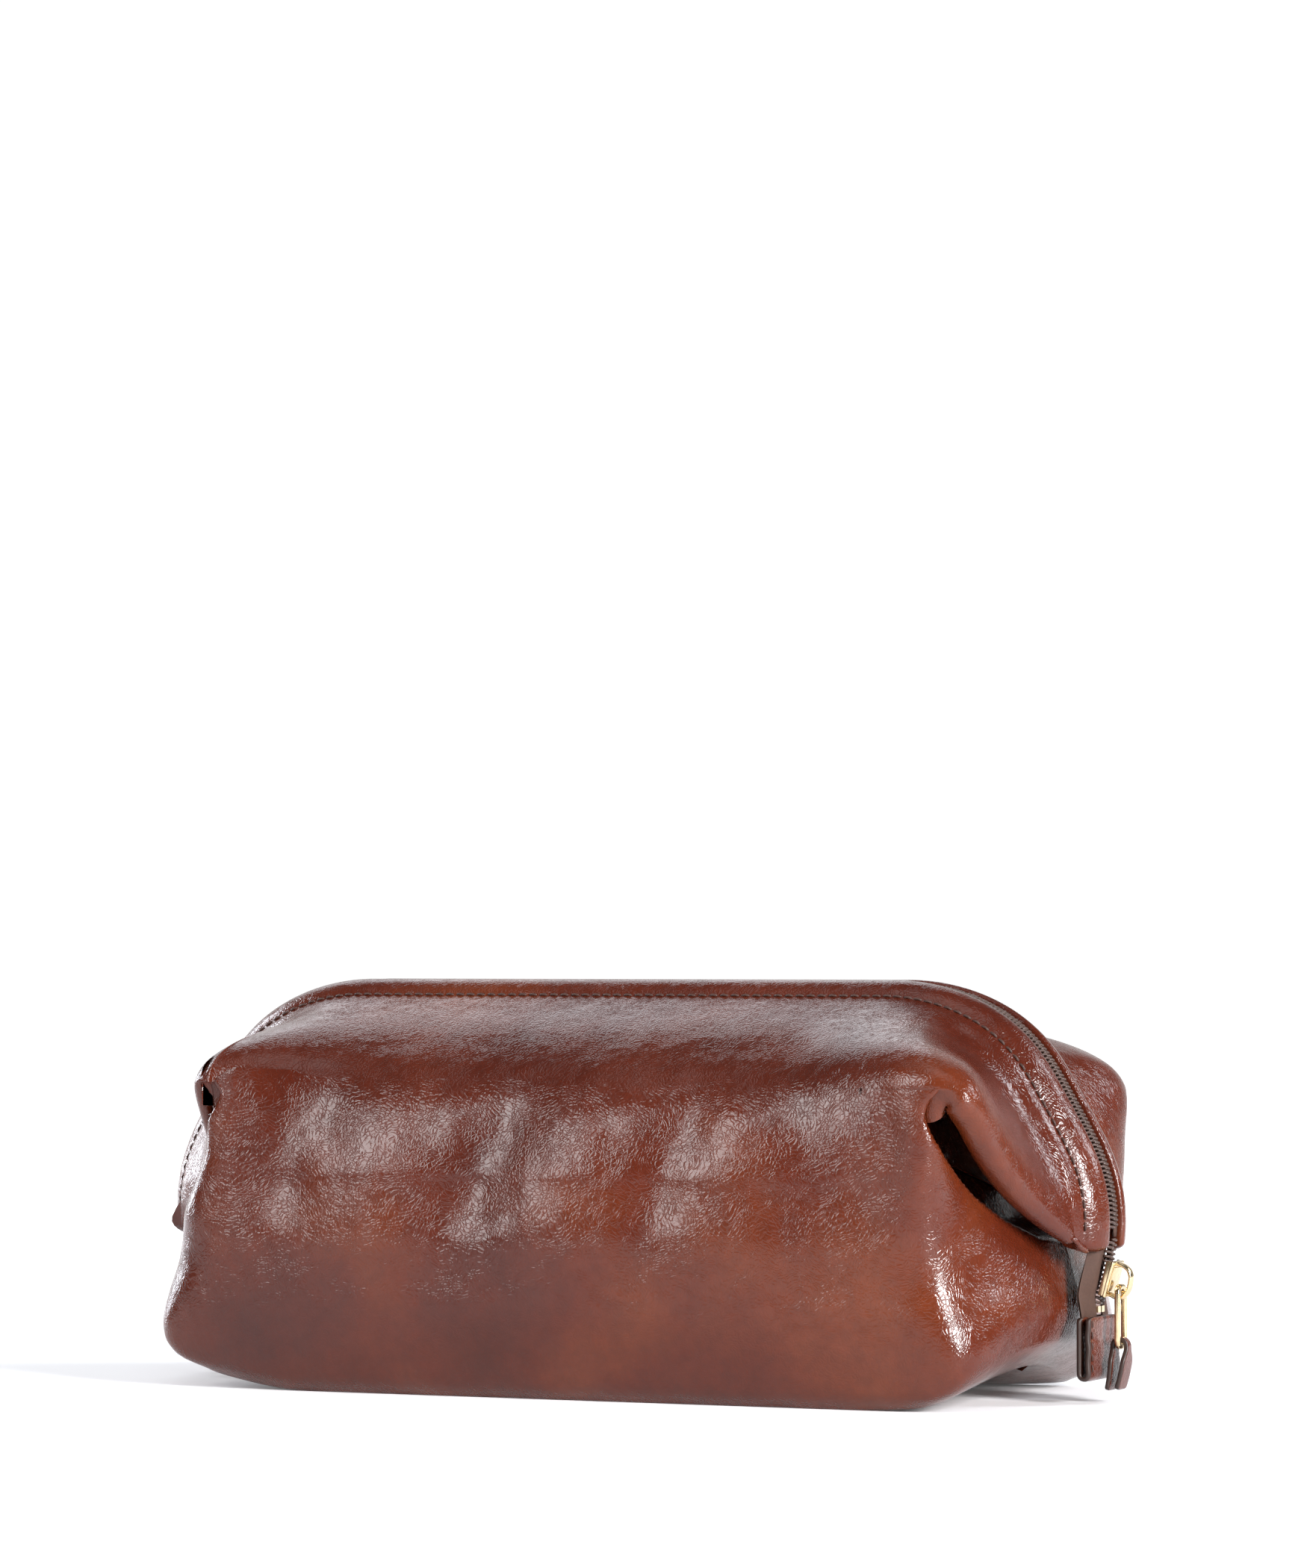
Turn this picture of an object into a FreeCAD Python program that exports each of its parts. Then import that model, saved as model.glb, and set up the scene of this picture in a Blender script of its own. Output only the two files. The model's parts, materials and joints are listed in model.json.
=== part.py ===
"""Framed leather wash bag: a soft box on a stiff base, whose zipped mouth is held by two U-shaped spring bars.

Millimetres.  +X runs along the bag towards the end where the closed zip stops, -Y is the front, +Z is up.
The origin is the middle of the underside.  The zip runs in the plane Y = 0 along a flat top and down a quarter
circle at each end.  The two bars are pinned together at both ends, so that the mouth opens like a frame purse.
"""
import math
import os

import FreeCAD
import Part
import Sketcher

V = FreeCAD.Vector
doc = FreeCAD.newDocument("wash_bag")

DIMS = {
    # the line of the zip
    "top_z": 122.5,          # highest point of the leather along the zip
    "flat_half": 86.0,       # half of the straight top of the frame
    "frame_r": 68.0,         # radius of the quarter circle at each end
    # the two places where the mouth folds
    "pivot_z": 48.5,         # axis of the two frame rivets
    "fold_z": 92.0,          # height of the fold line along the shoulder
    "fold_y": 67.0,          # how far that line stands out from the middle
    # leather and cloth
    "leather": 1.8,
    "cloth": 0.6,
    "skin_gap": 0.1,
    "fold_gap": 0.5,
    # base
    "base_half_x": 119.8,
    "base_half_y": 57.8,
    "board": 2.0,
    "board_inset": 3.0,
    # inner pocket
    "pocket_half": 70.0,
    "pocket_low_z": 18.0,
    "pocket_high_z": 66.0,
    "pocket_bulge": 1.4,
    # hem round the mouth, measured inwards from the line of the zip
    "hem_depth": 13.5,
    "hem_in_y": 4.7,
    "hem_out_y": 9.2,
    "hem_end_z": 47.2,
    "hem_bevel": 1.7,        # rise of the hem's lower end over its thickness
    "bar_edge": 3.0,
    "bar_width": 7.0,
    "bar_thick": 1.5,
    "bar_play": 0.2,
    "bar_end_z": 50.0,
    "zip_end_z": 49.0,
    "tape_edge": 1.8,
    "tape_thick": 0.5,
    "tape_depth": 12.0,
    "tape_y": 4.1,
    "coil_edge": 0.8,
    "coil_thick": 2.4,
    "coil_in_y": 0.4,
    "coil_out_y": 2.6,
    # hinge of the frame
    "ear_r": 3.6,
    "ear_x": 143.0,
    "ear_gap": 0.4,
    "tang_width": 4.0,
    "tang_rise": 11.0,
    "rivet_r": 1.5,
    "rivet_play": 0.05,
    "rivet_head_r": 2.9,
    "rivet_head": 1.0,
    # zip tail beyond the frame
    "tail_top_z": 42.0,
    "bend_z": 30.4,          # below this the tail hangs straight
    "coil_end_z": 28.0,
    "tape_end_z": 17.0,
    "tail_half": 11.0,
    "stop_height": 1.8,
    "tab_top_z": 25.6,
    "tab_low_z": 6.6,
    "tab_thick": 4.4,
    "tab_half": 12.5,
    # slider, link and thong
    "slider_z": 36.2,
    "slider_half": 5.4,
    "plate_thick": 1.2,
    "outer_plate_r": 68.35,
    "outer_plate_half": 5.0,
    "inner_plate_r": 63.1,
    "inner_plate_half": 3.4,
    "post_half": 0.25,
    "crown_rise": 5.2,
    "crown_half": 1.5,
    "crown_band": 1.3,
    "crown_foot": 2.6,
    "link_thick": 1.8,
    "link_half": 3.6,
    "link_length": 19.0,
    "link_play": 0.45,
    "thong_neck": 3.2,
    "thong_neck_z": 2.6,
    "thong_width": 7.6,
    "thong_thick": 1.8,
    "thong_length": 13.0,
    "pull_offset": 2.7,      # half of how far the pull stands out beyond the other end
}

sheet = doc.addObject("Spreadsheet::Sheet", "Dims")
for row, (alias, value) in enumerate(DIMS.items(), start=1):
    sheet.set(f"A{row}", alias)
    sheet.set(f"B{row}", str(value))
    sheet.setAlias(f"B{row}", alias)
doc.recompute()


def dim(alias):
    """The value of one cell of the sheet."""
    return float(sheet.get(alias))


ARC_Z = dim("top_z") - dim("frame_r")
SLOPE = (dim("fold_z") - dim("pivot_z")) / dim("fold_y")
finished = []


def keep(obj, label):
    """Names a finished sub-part after the node that it becomes, and centres the bag with its pull on the origin."""
    obj.Label = label
    obj.Placement.Base = V(-dim("pull_offset"), 0, 0)
    finished.append(obj)
    return obj


def plane(body, role):
    """One of the body's own origin planes."""
    return next(f for f in body.Origin.OriginFeatures if f.Role == role)


def new_sketch(body, role, offset="0"):
    """An empty sketch on an origin plane of the body, moved along the plane's normal by an expression."""
    sketch = body.newObject("Sketcher::SketchObject", body.Name + "_sketch")
    sketch.AttachmentSupport = (plane(body, role), [""])
    sketch.MapMode = "FlatFace"
    sketch.setExpression(".AttachmentOffset.Base.z", offset)
    return sketch


def constrain(sketch, name, kind, args, expression):
    """Adds a named dimension whose value comes from the sheet."""
    index = sketch.addConstraint(Sketcher.Constraint(kind, *args))
    sketch.renameConstraint(index, name)
    sketch.setExpression("Constraints." + name, expression)


def extrude(body, sketch, kind, length):
    """A pad or pocket of the sketch, half to each side of its plane."""
    feature = body.newObject("PartDesign::" + kind, body.Name + "_" + kind.lower())
    feature.Profile = sketch
    feature.Midplane = True
    feature.setExpression("Length", length)
    sketch.Visibility = False
    doc.recompute()
    return feature


def frame_band(body, kind, edge, inner_edge, y_mid, thickness, end_z):
    """A band that follows the line of the zip from one end of the frame to the other.

    edge and inner_edge are how far its two sides lie inside the line of the zip.
    """
    sketch = new_sketch(body, "XZ_Plane", f"-({y_mid})")
    flat, end = dim("flat_half"), evaluate(end_z)
    sides = []
    for depth in (edge, inner_edge):
        r = evaluate(f"Dims.frame_r - ({depth})")
        angle = math.asin((end - ARC_Z) / r)
        circles = [Part.Circle(V(x, ARC_Z, 0), V(0, 0, 1), r) for x in (flat, -flat)]
        right = sketch.addGeometry(Part.ArcOfCircle(circles[0], angle, math.pi / 2))
        left = sketch.addGeometry(Part.ArcOfCircle(circles[1], math.pi / 2, math.pi - angle))
        line = sketch.addGeometry(Part.LineSegment(V(-flat, ARC_Z + r, 0), V(flat, ARC_Z + r, 0)))
        sides.append((right, left, line, r, flat + r * math.cos(angle)))
    ends = [sketch.addGeometry(Part.LineSegment(V(sign * sides[0][4], end, 0), V(sign * sides[1][4], end, 0)))
            for sign in (1, -1)]
    for k, (right, left, line, r, _) in enumerate(sides):
        for first, second in (((right, 2), (line, 2)), ((left, 1), (line, 1)),
                              ((right, 1), (ends[0], 1 + k)), ((left, 2), (ends[1], 1 + k))):
            sketch.addConstraint(Sketcher.Constraint("Coincident", *first, *second))
        sketch.addConstraint(Sketcher.Constraint("Vertical", right, 3, right, 2))
        sketch.addConstraint(Sketcher.Constraint("Vertical", left, 3, left, 1))
        for name, arc, low in (("right", right, 1), ("left", left, 2)):
            constrain(sketch, f"{name}_r{k}", "Radius", (arc, r), f"Dims.frame_r - ({(edge, inner_edge)[k]})")
            constrain(sketch, f"{name}_z{k}", "DistanceY", (-1, 1, arc, 3, ARC_Z), "Dims.top_z - Dims.frame_r")
            constrain(sketch, f"{name}_end{k}", "DistanceY", (-1, 1, arc, low, end), end_z)
        constrain(sketch, f"right_x{k}", "DistanceX", (-1, 1, right, 3, flat), "Dims.flat_half")
        constrain(sketch, f"left_x{k}", "DistanceX", (left, 3, -1, 1, flat), "Dims.flat_half")
    return extrude(body, sketch, kind, thickness)


def polygon(body, role, points, kind, length, offset="0"):
    """A pad or pocket of a closed polygon whose corners are pairs of expressions."""
    sketch = new_sketch(body, role, offset)
    at = [tuple(evaluate(e) for e in pair) for pair in points]
    sides = [sketch.addGeometry(Part.LineSegment(V(*at[i], 0), V(*at[(i + 1) % len(at)], 0)))
             for i in range(len(at))]
    for i, side in enumerate(sides):
        sketch.addConstraint(Sketcher.Constraint("Coincident", side, 2, sides[(i + 1) % len(sides)], 1))
        for axis, value, expression in zip("XY", at[i], points[i]):
            place(sketch, f"p{i}{axis}", axis, side, value, expression)
    return extrude(body, sketch, kind, length)


def place(sketch, name, axis, side, value, expression):
    """Holds the start of one side at a coordinate, which may be negative or nought."""
    if abs(value) < 1e-9:
        sketch.addConstraint(Sketcher.Constraint("PointOnObject", side, 1, -2 if axis == "X" else -1))
    elif value > 0:
        constrain(sketch, name, "Distance" + axis, (-1, 1, side, 1, value), expression)
    else:
        constrain(sketch, name, "Distance" + axis, (side, 1, -1, 1, -value), f"-({expression})")


def evaluate(expression):
    """The value of an expression written with the sheet's aliases."""
    return float(sheet.evalExpression(expression.replace("Dims.", "")))


def new_body(name):
    return doc.addObject("PartDesign::Body", name)


def feature(name, shape):
    """A sub-part of free form, which no sketch or primitive describes."""
    obj = doc.addObject("Part::Feature", name)
    obj.Shape = shape
    return keep(obj, name)


# ---- the soft box -------------------------------------------------------------------------------------------
# height above the table, half length, half depth: the outside of the leather
BOX_SECTIONS = ((0.0, 122.0, 60.0), (4.0, 130.0, 63.5), (14.0, 137.0, 65.5), (25.0, 138.5, 66.5),
                (45.0, 135.5, 67.0), (60.0, 128.5, 67.0), (75.0, 122.5, 67.0), (100.0, 118.0, 67.0))
SQUARENESS = 8.0
SECTION_POINTS = 48


def rounded_wire(half_x, half_y, z):
    """A closed curve between an ellipse and a rectangle."""
    points = []
    for k in range(SECTION_POINTS):
        angle = 2 * math.pi * (k + 0.5) / SECTION_POINTS
        c, s = math.cos(angle), math.sin(angle)
        points.append(V(half_x * math.copysign(abs(c) ** (2 / SQUARENESS), c),
                        half_y * math.copysign(abs(s) ** (2 / SQUARENESS), s), z))
    curve = Part.BSplineCurve()
    curve.interpolate(points, PeriodicFlag=True)
    return Part.Wire(curve.toShape())


def box_solid(inset):
    """The inside of the box, drawn in from its outer surface."""
    wires = [rounded_wire(x - inset, y - inset, z) for z, x, y in BOX_SECTIONS]
    return Part.makeLoft(wires, True, False)


def fold_wedge(gap, half_length=200.0):
    """Everything above the V of the two fold planes, which cross at the rivets, and gap lower than they are."""
    reach, ceiling = 90.0, 160.0
    low, high = dim("pivot_z") - gap, dim("pivot_z") + SLOPE * reach - gap
    corners = [V(-half_length, -reach, high), V(-half_length, 0, low), V(-half_length, reach, high),
               V(-half_length, reach, ceiling), V(-half_length, -reach, ceiling)]
    return Part.Face(Part.makePolygon(corners + corners[:1])).extrude(V(2 * half_length, 0, 0))


def half_space(side, low_z):
    """The front (-1) or back (+1) half of everything above a height."""
    return Part.makeBox(400, 100, 200, V(-200, -100 if side < 0 else 0, low_z))


def make_box():
    leather, cloth, gap = dim("leather"), dim("cloth"), dim("skin_gap")
    shell = box_solid(0).cut(box_solid(leather)).cut(fold_wedge(dim("fold_gap")))
    lining = box_solid(leather + gap).cut(box_solid(leather + gap + cloth)).cut(fold_wedge(3.0))
    floor = leather + gap + dim("board") + gap
    for side, name in ((-1, "front"), (1, "back")):
        feature(name + "_panel", shell.common(half_space(side, 0)))
        feature(name + "_lining", lining.common(half_space(side, floor + cloth + gap)))
    plates = (
        ("base_panel", 0.0, leather, 0.0),
        ("base_board", leather + gap, dim("board"), dim("board_inset")),
        ("base_lining", floor, cloth, 0.5),
    )
    for name, z, thick, inset in plates:
        wire = rounded_wire(dim("base_half_x") - inset, dim("base_half_y") - inset, z)
        feature(name, Part.Face(wire).extrude(V(0, 0, thick)))


def make_pocket():
    """A flat cloth pocket on the back lining, with a thicker binding along its mouth."""
    face_y = dim("fold_y") - dim("leather") - dim("cloth") - 20 * dim("skin_gap") - dim("pocket_bulge")
    half, low, high = dim("pocket_half"), dim("pocket_low_z"), dim("pocket_high_z")
    sheet_box = Part.makeBox(2 * half, dim("pocket_bulge"), high - low, V(-half, face_y, low))
    space = Part.makeBox(2 * half - 4, dim("pocket_bulge") - dim("cloth"), high - low,
                         V(2 - half, face_y + dim("cloth"), low + 2))
    binding = Part.makeBox(2 * half, 0.8, 7.0, V(-half, face_y - 0.8, high - 7))
    feature("inner_pocket", sheet_box.cut(space).fuse(binding).removeSplitter())


# ---- the shoulders, which swing with the frame --------------------------------------------------------------
# One half of the lower edge of a shoulder, from the middle of the bag to the end of the hem: the angle round the
# end circle of the point of the hem that each station hangs from, and the station's x, distance from the middle
# and height.
FLAP_STATIONS = (
    (84, 100.0, 67.0, 92.0),
    (77, 112.0, 67.0, 92.0),
    (70, 121.0, 66.5, 91.5),
    (60, 126.0, 63.0, 84.0),
    (48, 130.5, 57.5, 75.5),
    (36, 134.5, 50.0, 67.0),
    (22, 138.5, 39.5, 59.0),
    (8, 140.8, 28.0, 53.0),
    (-5, 141.8, 17.0, 50.0),
)
SHOULDER_BULGE = 4.5


def shoulder_stations(side, reach):
    """Pairs of points along the lower edge and under the hem, from the left end to the right."""
    hem_r, flat = dim("frame_r") - dim("hem_depth") - 0.3, dim("flat_half")
    hem_y = dim("hem_out_y") - 1.2
    right = []
    for angle, x, y, z in FLAP_STATIONS:
        turn = math.radians(angle)
        high = V(flat + hem_r * math.cos(turn), side * hem_y, ARC_Z + hem_r * math.sin(turn))
        right.append((V(x, side * y, z), high))
    right = [pair for pair in right if pair[0].x <= reach]
    middle = [(V(x, side * dim("fold_y"), dim("fold_z")), V(x, side * hem_y, ARC_Z + hem_r))
              for x in (-flat, -50, 0, 50, flat)]
    left = [tuple(V(-p.x, p.y, p.z) for p in pair) for pair in reversed(right)]
    return left + middle + right


def shoulder(side, outer, inner, reach=150.0):
    """A leaf from the fold line up to the hem, between two depths under its outer surface."""
    stations = shoulder_stations(side, reach)
    wires = []
    for k, (low, high) in enumerate(stations):
        before, after = stations[max(k - 1, 0)], stations[min(k + 1, len(stations) - 1)]
        tangent = (after[0] + after[1]) - (before[0] + before[1])
        inward = tangent.cross(high - low) * side
        inward.normalize()
        bulge = SHOULDER_BULGE * max(0.25, min(1.0, (150 - abs(low.x)) / 40))
        middle = (low + high) * 0.5 - inward * bulge
        profile = [low, middle, high]
        corners = [p + inward * outer for p in profile] + [p + inward * inner for p in reversed(profile)]
        wires.append(Part.makePolygon(corners + corners[:1]))
    leaf = Part.makeLoft(wires, True, True)
    if leaf.Volume < 0:
        leaf.reverse()
    under_fold = Part.makeBox(236, 200, 200, V(-118, -100, -50)).cut(fold_wedge(0.0))
    return leaf.cut(under_fold)


def make_shoulders():
    leather, cloth, gap = dim("leather"), dim("cloth"), dim("skin_gap")
    for side, name in ((-1, "front"), (1, "back")):
        feature(name + "_shoulder", shoulder(side, 0.0, leather))
        feature(name + "_shoulder_lining", shoulder(side, leather + gap, leather + gap + cloth, 115.0))


def make_gussets():
    """The folded leather inside each end: one triangle that lies behind the shoulders until the mouth opens."""
    thick = 2.4
    top, low = dim("fold_z") - 4.0, dim("pivot_z") + 2.0
    half = (top - low) / SLOPE
    for end, name in ((1, "right_gusset"), (-1, "left_gusset")):
        corners = [V(end * 113.0, -half, top), V(end * 113.0, half, top), V(end * 133.0, 0, low)]
        feature(name, Part.Face(Part.makePolygon(corners + corners[:1])).extrude(V(end * thick, 0, 0)))


# ---- the frame: bars, hems, zip ----------------------------------------------------------------------------
def make_frame_half(side, name):
    """One half of the mouth. side is -1 at the front and +1 at the back."""
    sign = "-" if side < 0 else ""
    middle_y = f"{sign}(Dims.hem_in_y + Dims.hem_out_y) / 2"
    ear_x = "Dims.ear_x + Dims.bar_thick / 2"
    if side > 0:
        ear_x += " + Dims.bar_thick + Dims.ear_gap"
    ears = (f"({ear_x})", f"-({ear_x})")

    bar = new_body(name + "_frame_bar")
    frame_band(bar, "Pad", "Dims.bar_edge", "Dims.bar_edge + Dims.bar_width", middle_y, "Dims.bar_thick",
               "Dims.bar_end_z")
    for middle in ears:
        tang(bar, sign, "Pad", middle, "0")
    for middle in ears:
        disc(bar, "Pad", middle, "Dims.bar_thick", "Dims.ear_r")
        disc(bar, "Pocket", middle, "Dims.bar_thick", "Dims.rivet_r + Dims.rivet_play")
    keep(bar, name + "_frame_bar")

    hem = new_body(name + "_hem")
    frame_band(hem, "Pad", "0", "Dims.hem_depth", middle_y, "Dims.hem_out_y - Dims.hem_in_y", "Dims.hem_end_z")
    frame_band(hem, "Pocket", "Dims.bar_edge - Dims.bar_play", "Dims.bar_edge + Dims.bar_width + Dims.bar_play",
               middle_y, "Dims.bar_thick + 2 * Dims.bar_play", "Dims.hem_end_z")
    inner, outer = f"{sign}(Dims.hem_in_y - 0.1)", f"{sign}(Dims.hem_out_y + 1)"
    bevel = [(inner, "Dims.hem_end_z - 1"), (outer, "Dims.hem_end_z - 1"),
             (outer, "Dims.hem_end_z + Dims.hem_bevel * (Dims.hem_out_y + 1 - Dims.hem_in_y)"),
             (inner, "Dims.hem_end_z")]
    polygon(hem, "YZ_Plane", bevel, "Pocket", "400")
    for middle in ears:
        tang(hem, sign, "Pocket", middle, "Dims.bar_play")
    keep(hem, name + "_hem")

    tape = new_body(name + "_zip_tape")
    frame_band(tape, "Pad", "Dims.tape_edge", "Dims.tape_depth", f"{sign}(Dims.tape_y + Dims.tape_thick / 2)",
               "Dims.tape_thick", "Dims.zip_end_z")
    frame_band(tape, "Pad", "Dims.tape_edge", "Dims.tape_edge + Dims.tape_thick",
               f"{sign}(Dims.tape_y + Dims.tape_thick + Dims.coil_out_y) / 2",
               "Dims.tape_y + Dims.tape_thick - Dims.coil_out_y", "Dims.zip_end_z")
    for middle in ears:
        tang(tape, sign, "Pocket", middle, "Dims.bar_play")
    keep(tape, name + "_zip_tape")

    coil = new_body(name + "_zip_coil")
    frame_band(coil, "Pad", "Dims.coil_edge", "Dims.coil_edge + Dims.coil_thick",
               f"{sign}(Dims.coil_in_y + Dims.coil_out_y) / 2", "Dims.coil_out_y - Dims.coil_in_y",
               "Dims.zip_end_z")
    keep(coil, name + "_zip_coil")


def tang(body, sign, kind, middle, play):
    """The flat tongue that joins the bar to its ear, or the slot that it passes through."""
    outer = f"{sign}((Dims.hem_in_y + Dims.hem_out_y + Dims.bar_thick) / 2 + {play})"
    inner = f"{sign}((Dims.hem_in_y + Dims.hem_out_y - Dims.bar_thick) / 2 - {play})"
    half = f"(Dims.tang_width / 2 + {play})"
    top = f"Dims.pivot_z + Dims.tang_rise + {play}"
    corners = [("0", f"Dims.pivot_z - {half}"), (outer, f"Dims.pivot_z + Dims.tang_rise / 2 - {play}"),
               (outer, top), (inner, top), ("0", f"Dims.pivot_z + {half}")]
    return polygon(body, "YZ_Plane", corners, kind, f"Dims.bar_thick + 2 * {play}", middle)


def disc(body, kind, middle, length, radius):
    """A round pad or hole on the axis of the rivets."""
    sketch = new_sketch(body, "YZ_Plane", middle)
    circle = sketch.addGeometry(Part.Circle(V(0, dim("pivot_z"), 0), V(0, 0, 1), evaluate(radius)))
    sketch.addConstraint(Sketcher.Constraint("PointOnObject", circle, 3, -2))
    constrain(sketch, "height", "DistanceY", (-1, 1, circle, 3, dim("pivot_z")), "Dims.pivot_z")
    constrain(sketch, "size", "Radius", (circle, evaluate(radius)), radius)
    extrude(body, sketch, kind, length)


def make_rivets():
    """A shank through both ears, with a head at each end."""
    span = "(2 * Dims.bar_thick + Dims.ear_gap)"
    head = f"({span} / 2 + 0.2 + Dims.rivet_head / 2)"
    pieces = (("0", f"{span} + 0.4", "Dims.rivet_r"),
              (head, "Dims.rivet_head", "Dims.rivet_head_r"),
              (f"-{head}", "Dims.rivet_head", "Dims.rivet_head_r"))
    for sign, name in (("", "right_hinge_rivet"), ("-", "left_hinge_rivet")):
        body = new_body(name)
        for shift, length, radius in pieces:
            disc(body, "Pad", f"{sign}(Dims.ear_x + {span} / 2 + {shift})", length, radius)
        keep(body, name)


# ---- zip tails ---------------------------------------------------------------------------------------------
def tail_strip(end, edge, inner_edge, low_z, high_z, y_span):
    """A strip that follows the end circle down to the bend and hangs straight below it."""
    r_out, r_in = dim("frame_r") - edge, dim("frame_r") - inner_edge
    flat, bend = dim("flat_half"), dim("bend_z")
    width = y_span[1] - y_span[0]
    pieces = []
    if high_z > bend:
        centre = V(flat, y_span[0], ARC_Z)
        ring = Part.makeCylinder(r_out, width, centre, V(0, 1, 0))
        ring = ring.cut(Part.makeCylinder(r_in, width, centre, V(0, 1, 0)))
        start = max(bend, low_z)
        pieces.append(ring.common(Part.makeBox(120, width, high_z - start, V(flat, y_span[0], start))))
    if low_z < bend:
        x_in, x_out = (flat + math.sqrt(r ** 2 - (ARC_Z - bend) ** 2) for r in (r_in, r_out))
        pieces.append(Part.makeBox(x_out - x_in, width, min(bend, high_z) - low_z, V(x_in, y_span[0], low_z)))
    strip = pieces[0] if len(pieces) == 1 else pieces[0].fuse(pieces[1]).removeSplitter()
    return strip if end > 0 else strip.mirror(V(0, 0, 0), V(1, 0, 0))


def make_tails():
    """The tapes and coils beyond the frame, with the stops that end the coils and the tab over their tapes."""
    tape = (dim("tape_edge"), dim("tape_edge") + dim("tape_thick"))
    coil = (dim("coil_edge"), dim("coil_edge") + dim("coil_thick"))
    coil_end = dim("coil_end_z")
    parts = (
        ("tail_tape", tape, dim("tape_end_z"), dim("tail_top_z"), (dim("coil_out_y"), dim("tail_half"))),
        ("tail_coil", coil, coil_end, dim("tail_top_z"), (dim("coil_in_y"), dim("coil_out_y"))),
        ("zip_stops", coil, coil_end - dim("stop_height"), coil_end, (dim("coil_in_y"), dim("coil_out_y"))),
    )
    for end, end_name in ((1, "right"), (-1, "left")):
        for name, (edge, inner_edge), low_z, high_z, (near, far) in parts:
            strips = [tail_strip(end, edge, inner_edge, low_z, high_z, span)
                      for span in ((-far, -near), (near, far))]
            feature(f"{end_name}_{name}", Part.makeCompound(strips))
        make_tab(end, end_name)


def make_tab(end, end_name):
    """A leather tab folded up from below over the ends of both tapes."""
    thick, half, low, top = dim("tab_thick"), dim("tab_half"), dim("tab_low_z"), dim("tab_top_z")
    slot = dim("tape_thick") + 0.2
    r = dim("frame_r") - dim("tape_edge") - dim("tape_thick") / 2
    x = dim("flat_half") + math.sqrt(r ** 2 - (ARC_Z - dim("bend_z")) ** 2)
    leather = Part.makeBox(thick, 2 * half, top - low, V(x - thick / 2, -half, low))
    fold = [e for e in leather.Edges if e.BoundBox.ZMax < low + 1e-6 and e.BoundBox.YLength > half]
    leather = leather.makeFillet(thick * 0.45, fold)
    depth = top - dim("tape_end_z") + 0.6
    leather = leather.cut(Part.makeBox(slot, 2 * half, depth, V(x - slot / 2, -half, top - depth)))
    feature(f"{end_name}_end_tab", leather if end > 0 else leather.mirror(V(0, 0, 0), V(1, 0, 0)))


# ---- slider ------------------------------------------------------------------------------------------------
def slider_angle():
    return math.asin((dim("slider_z") - ARC_Z) / dim("frame_r"))


def slider_sector(r_in, r_out, t_low, t_high, half_y):
    """A curved block on the line of the zip. t runs along the zip from the slider's middle, upwards."""
    middle, r = slider_angle(), dim("frame_r")
    a, b = middle + t_low / r, middle + t_high / r
    centre = V(dim("flat_half"), 0, ARC_Z)

    def at(radius, angle):
        return centre + V(radius * math.cos(angle), 0, radius * math.sin(angle))
    edges = [Part.Arc(at(r_in, a), at(r_in, (a + b) / 2), at(r_in, b)).toShape(),
             Part.LineSegment(at(r_in, b), at(r_out, b)).toShape(),
             Part.Arc(at(r_out, b), at(r_out, (a + b) / 2), at(r_out, a)).toShape(),
             Part.LineSegment(at(r_out, a), at(r_in, a)).toShape()]
    face = Part.Face(Part.Wire(edges))
    face.translate(V(0, -half_y, 0))
    return face.extrude(V(0, 2 * half_y, 0))


def make_slider():
    """Two plates joined by a thin post, and the crown that carries the link."""
    half, plate = dim("slider_half"), dim("plate_thick")
    outer, inner = dim("outer_plate_r"), dim("inner_plate_r")
    body = slider_sector(outer, outer + plate, -half, half, dim("outer_plate_half"))
    body = body.fuse(slider_sector(inner, inner + plate, -half, half, dim("inner_plate_half")))
    body = body.fuse(slider_sector(inner + plate / 2, outer + plate / 2, -half + 0.4, -half + 3.0,
                                   dim("post_half")))
    feature("slider_body", body.removeSplitter())
    low, high = outer + plate, outer + plate + dim("crown_rise")
    band, foot = dim("crown_band"), dim("crown_foot")
    crown = slider_sector(low, high, -half, half, dim("crown_half"))
    crown = crown.cut(slider_sector(low, high - band, foot - half, half - band, 5))
    feature("slider_crown", crown)


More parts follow.
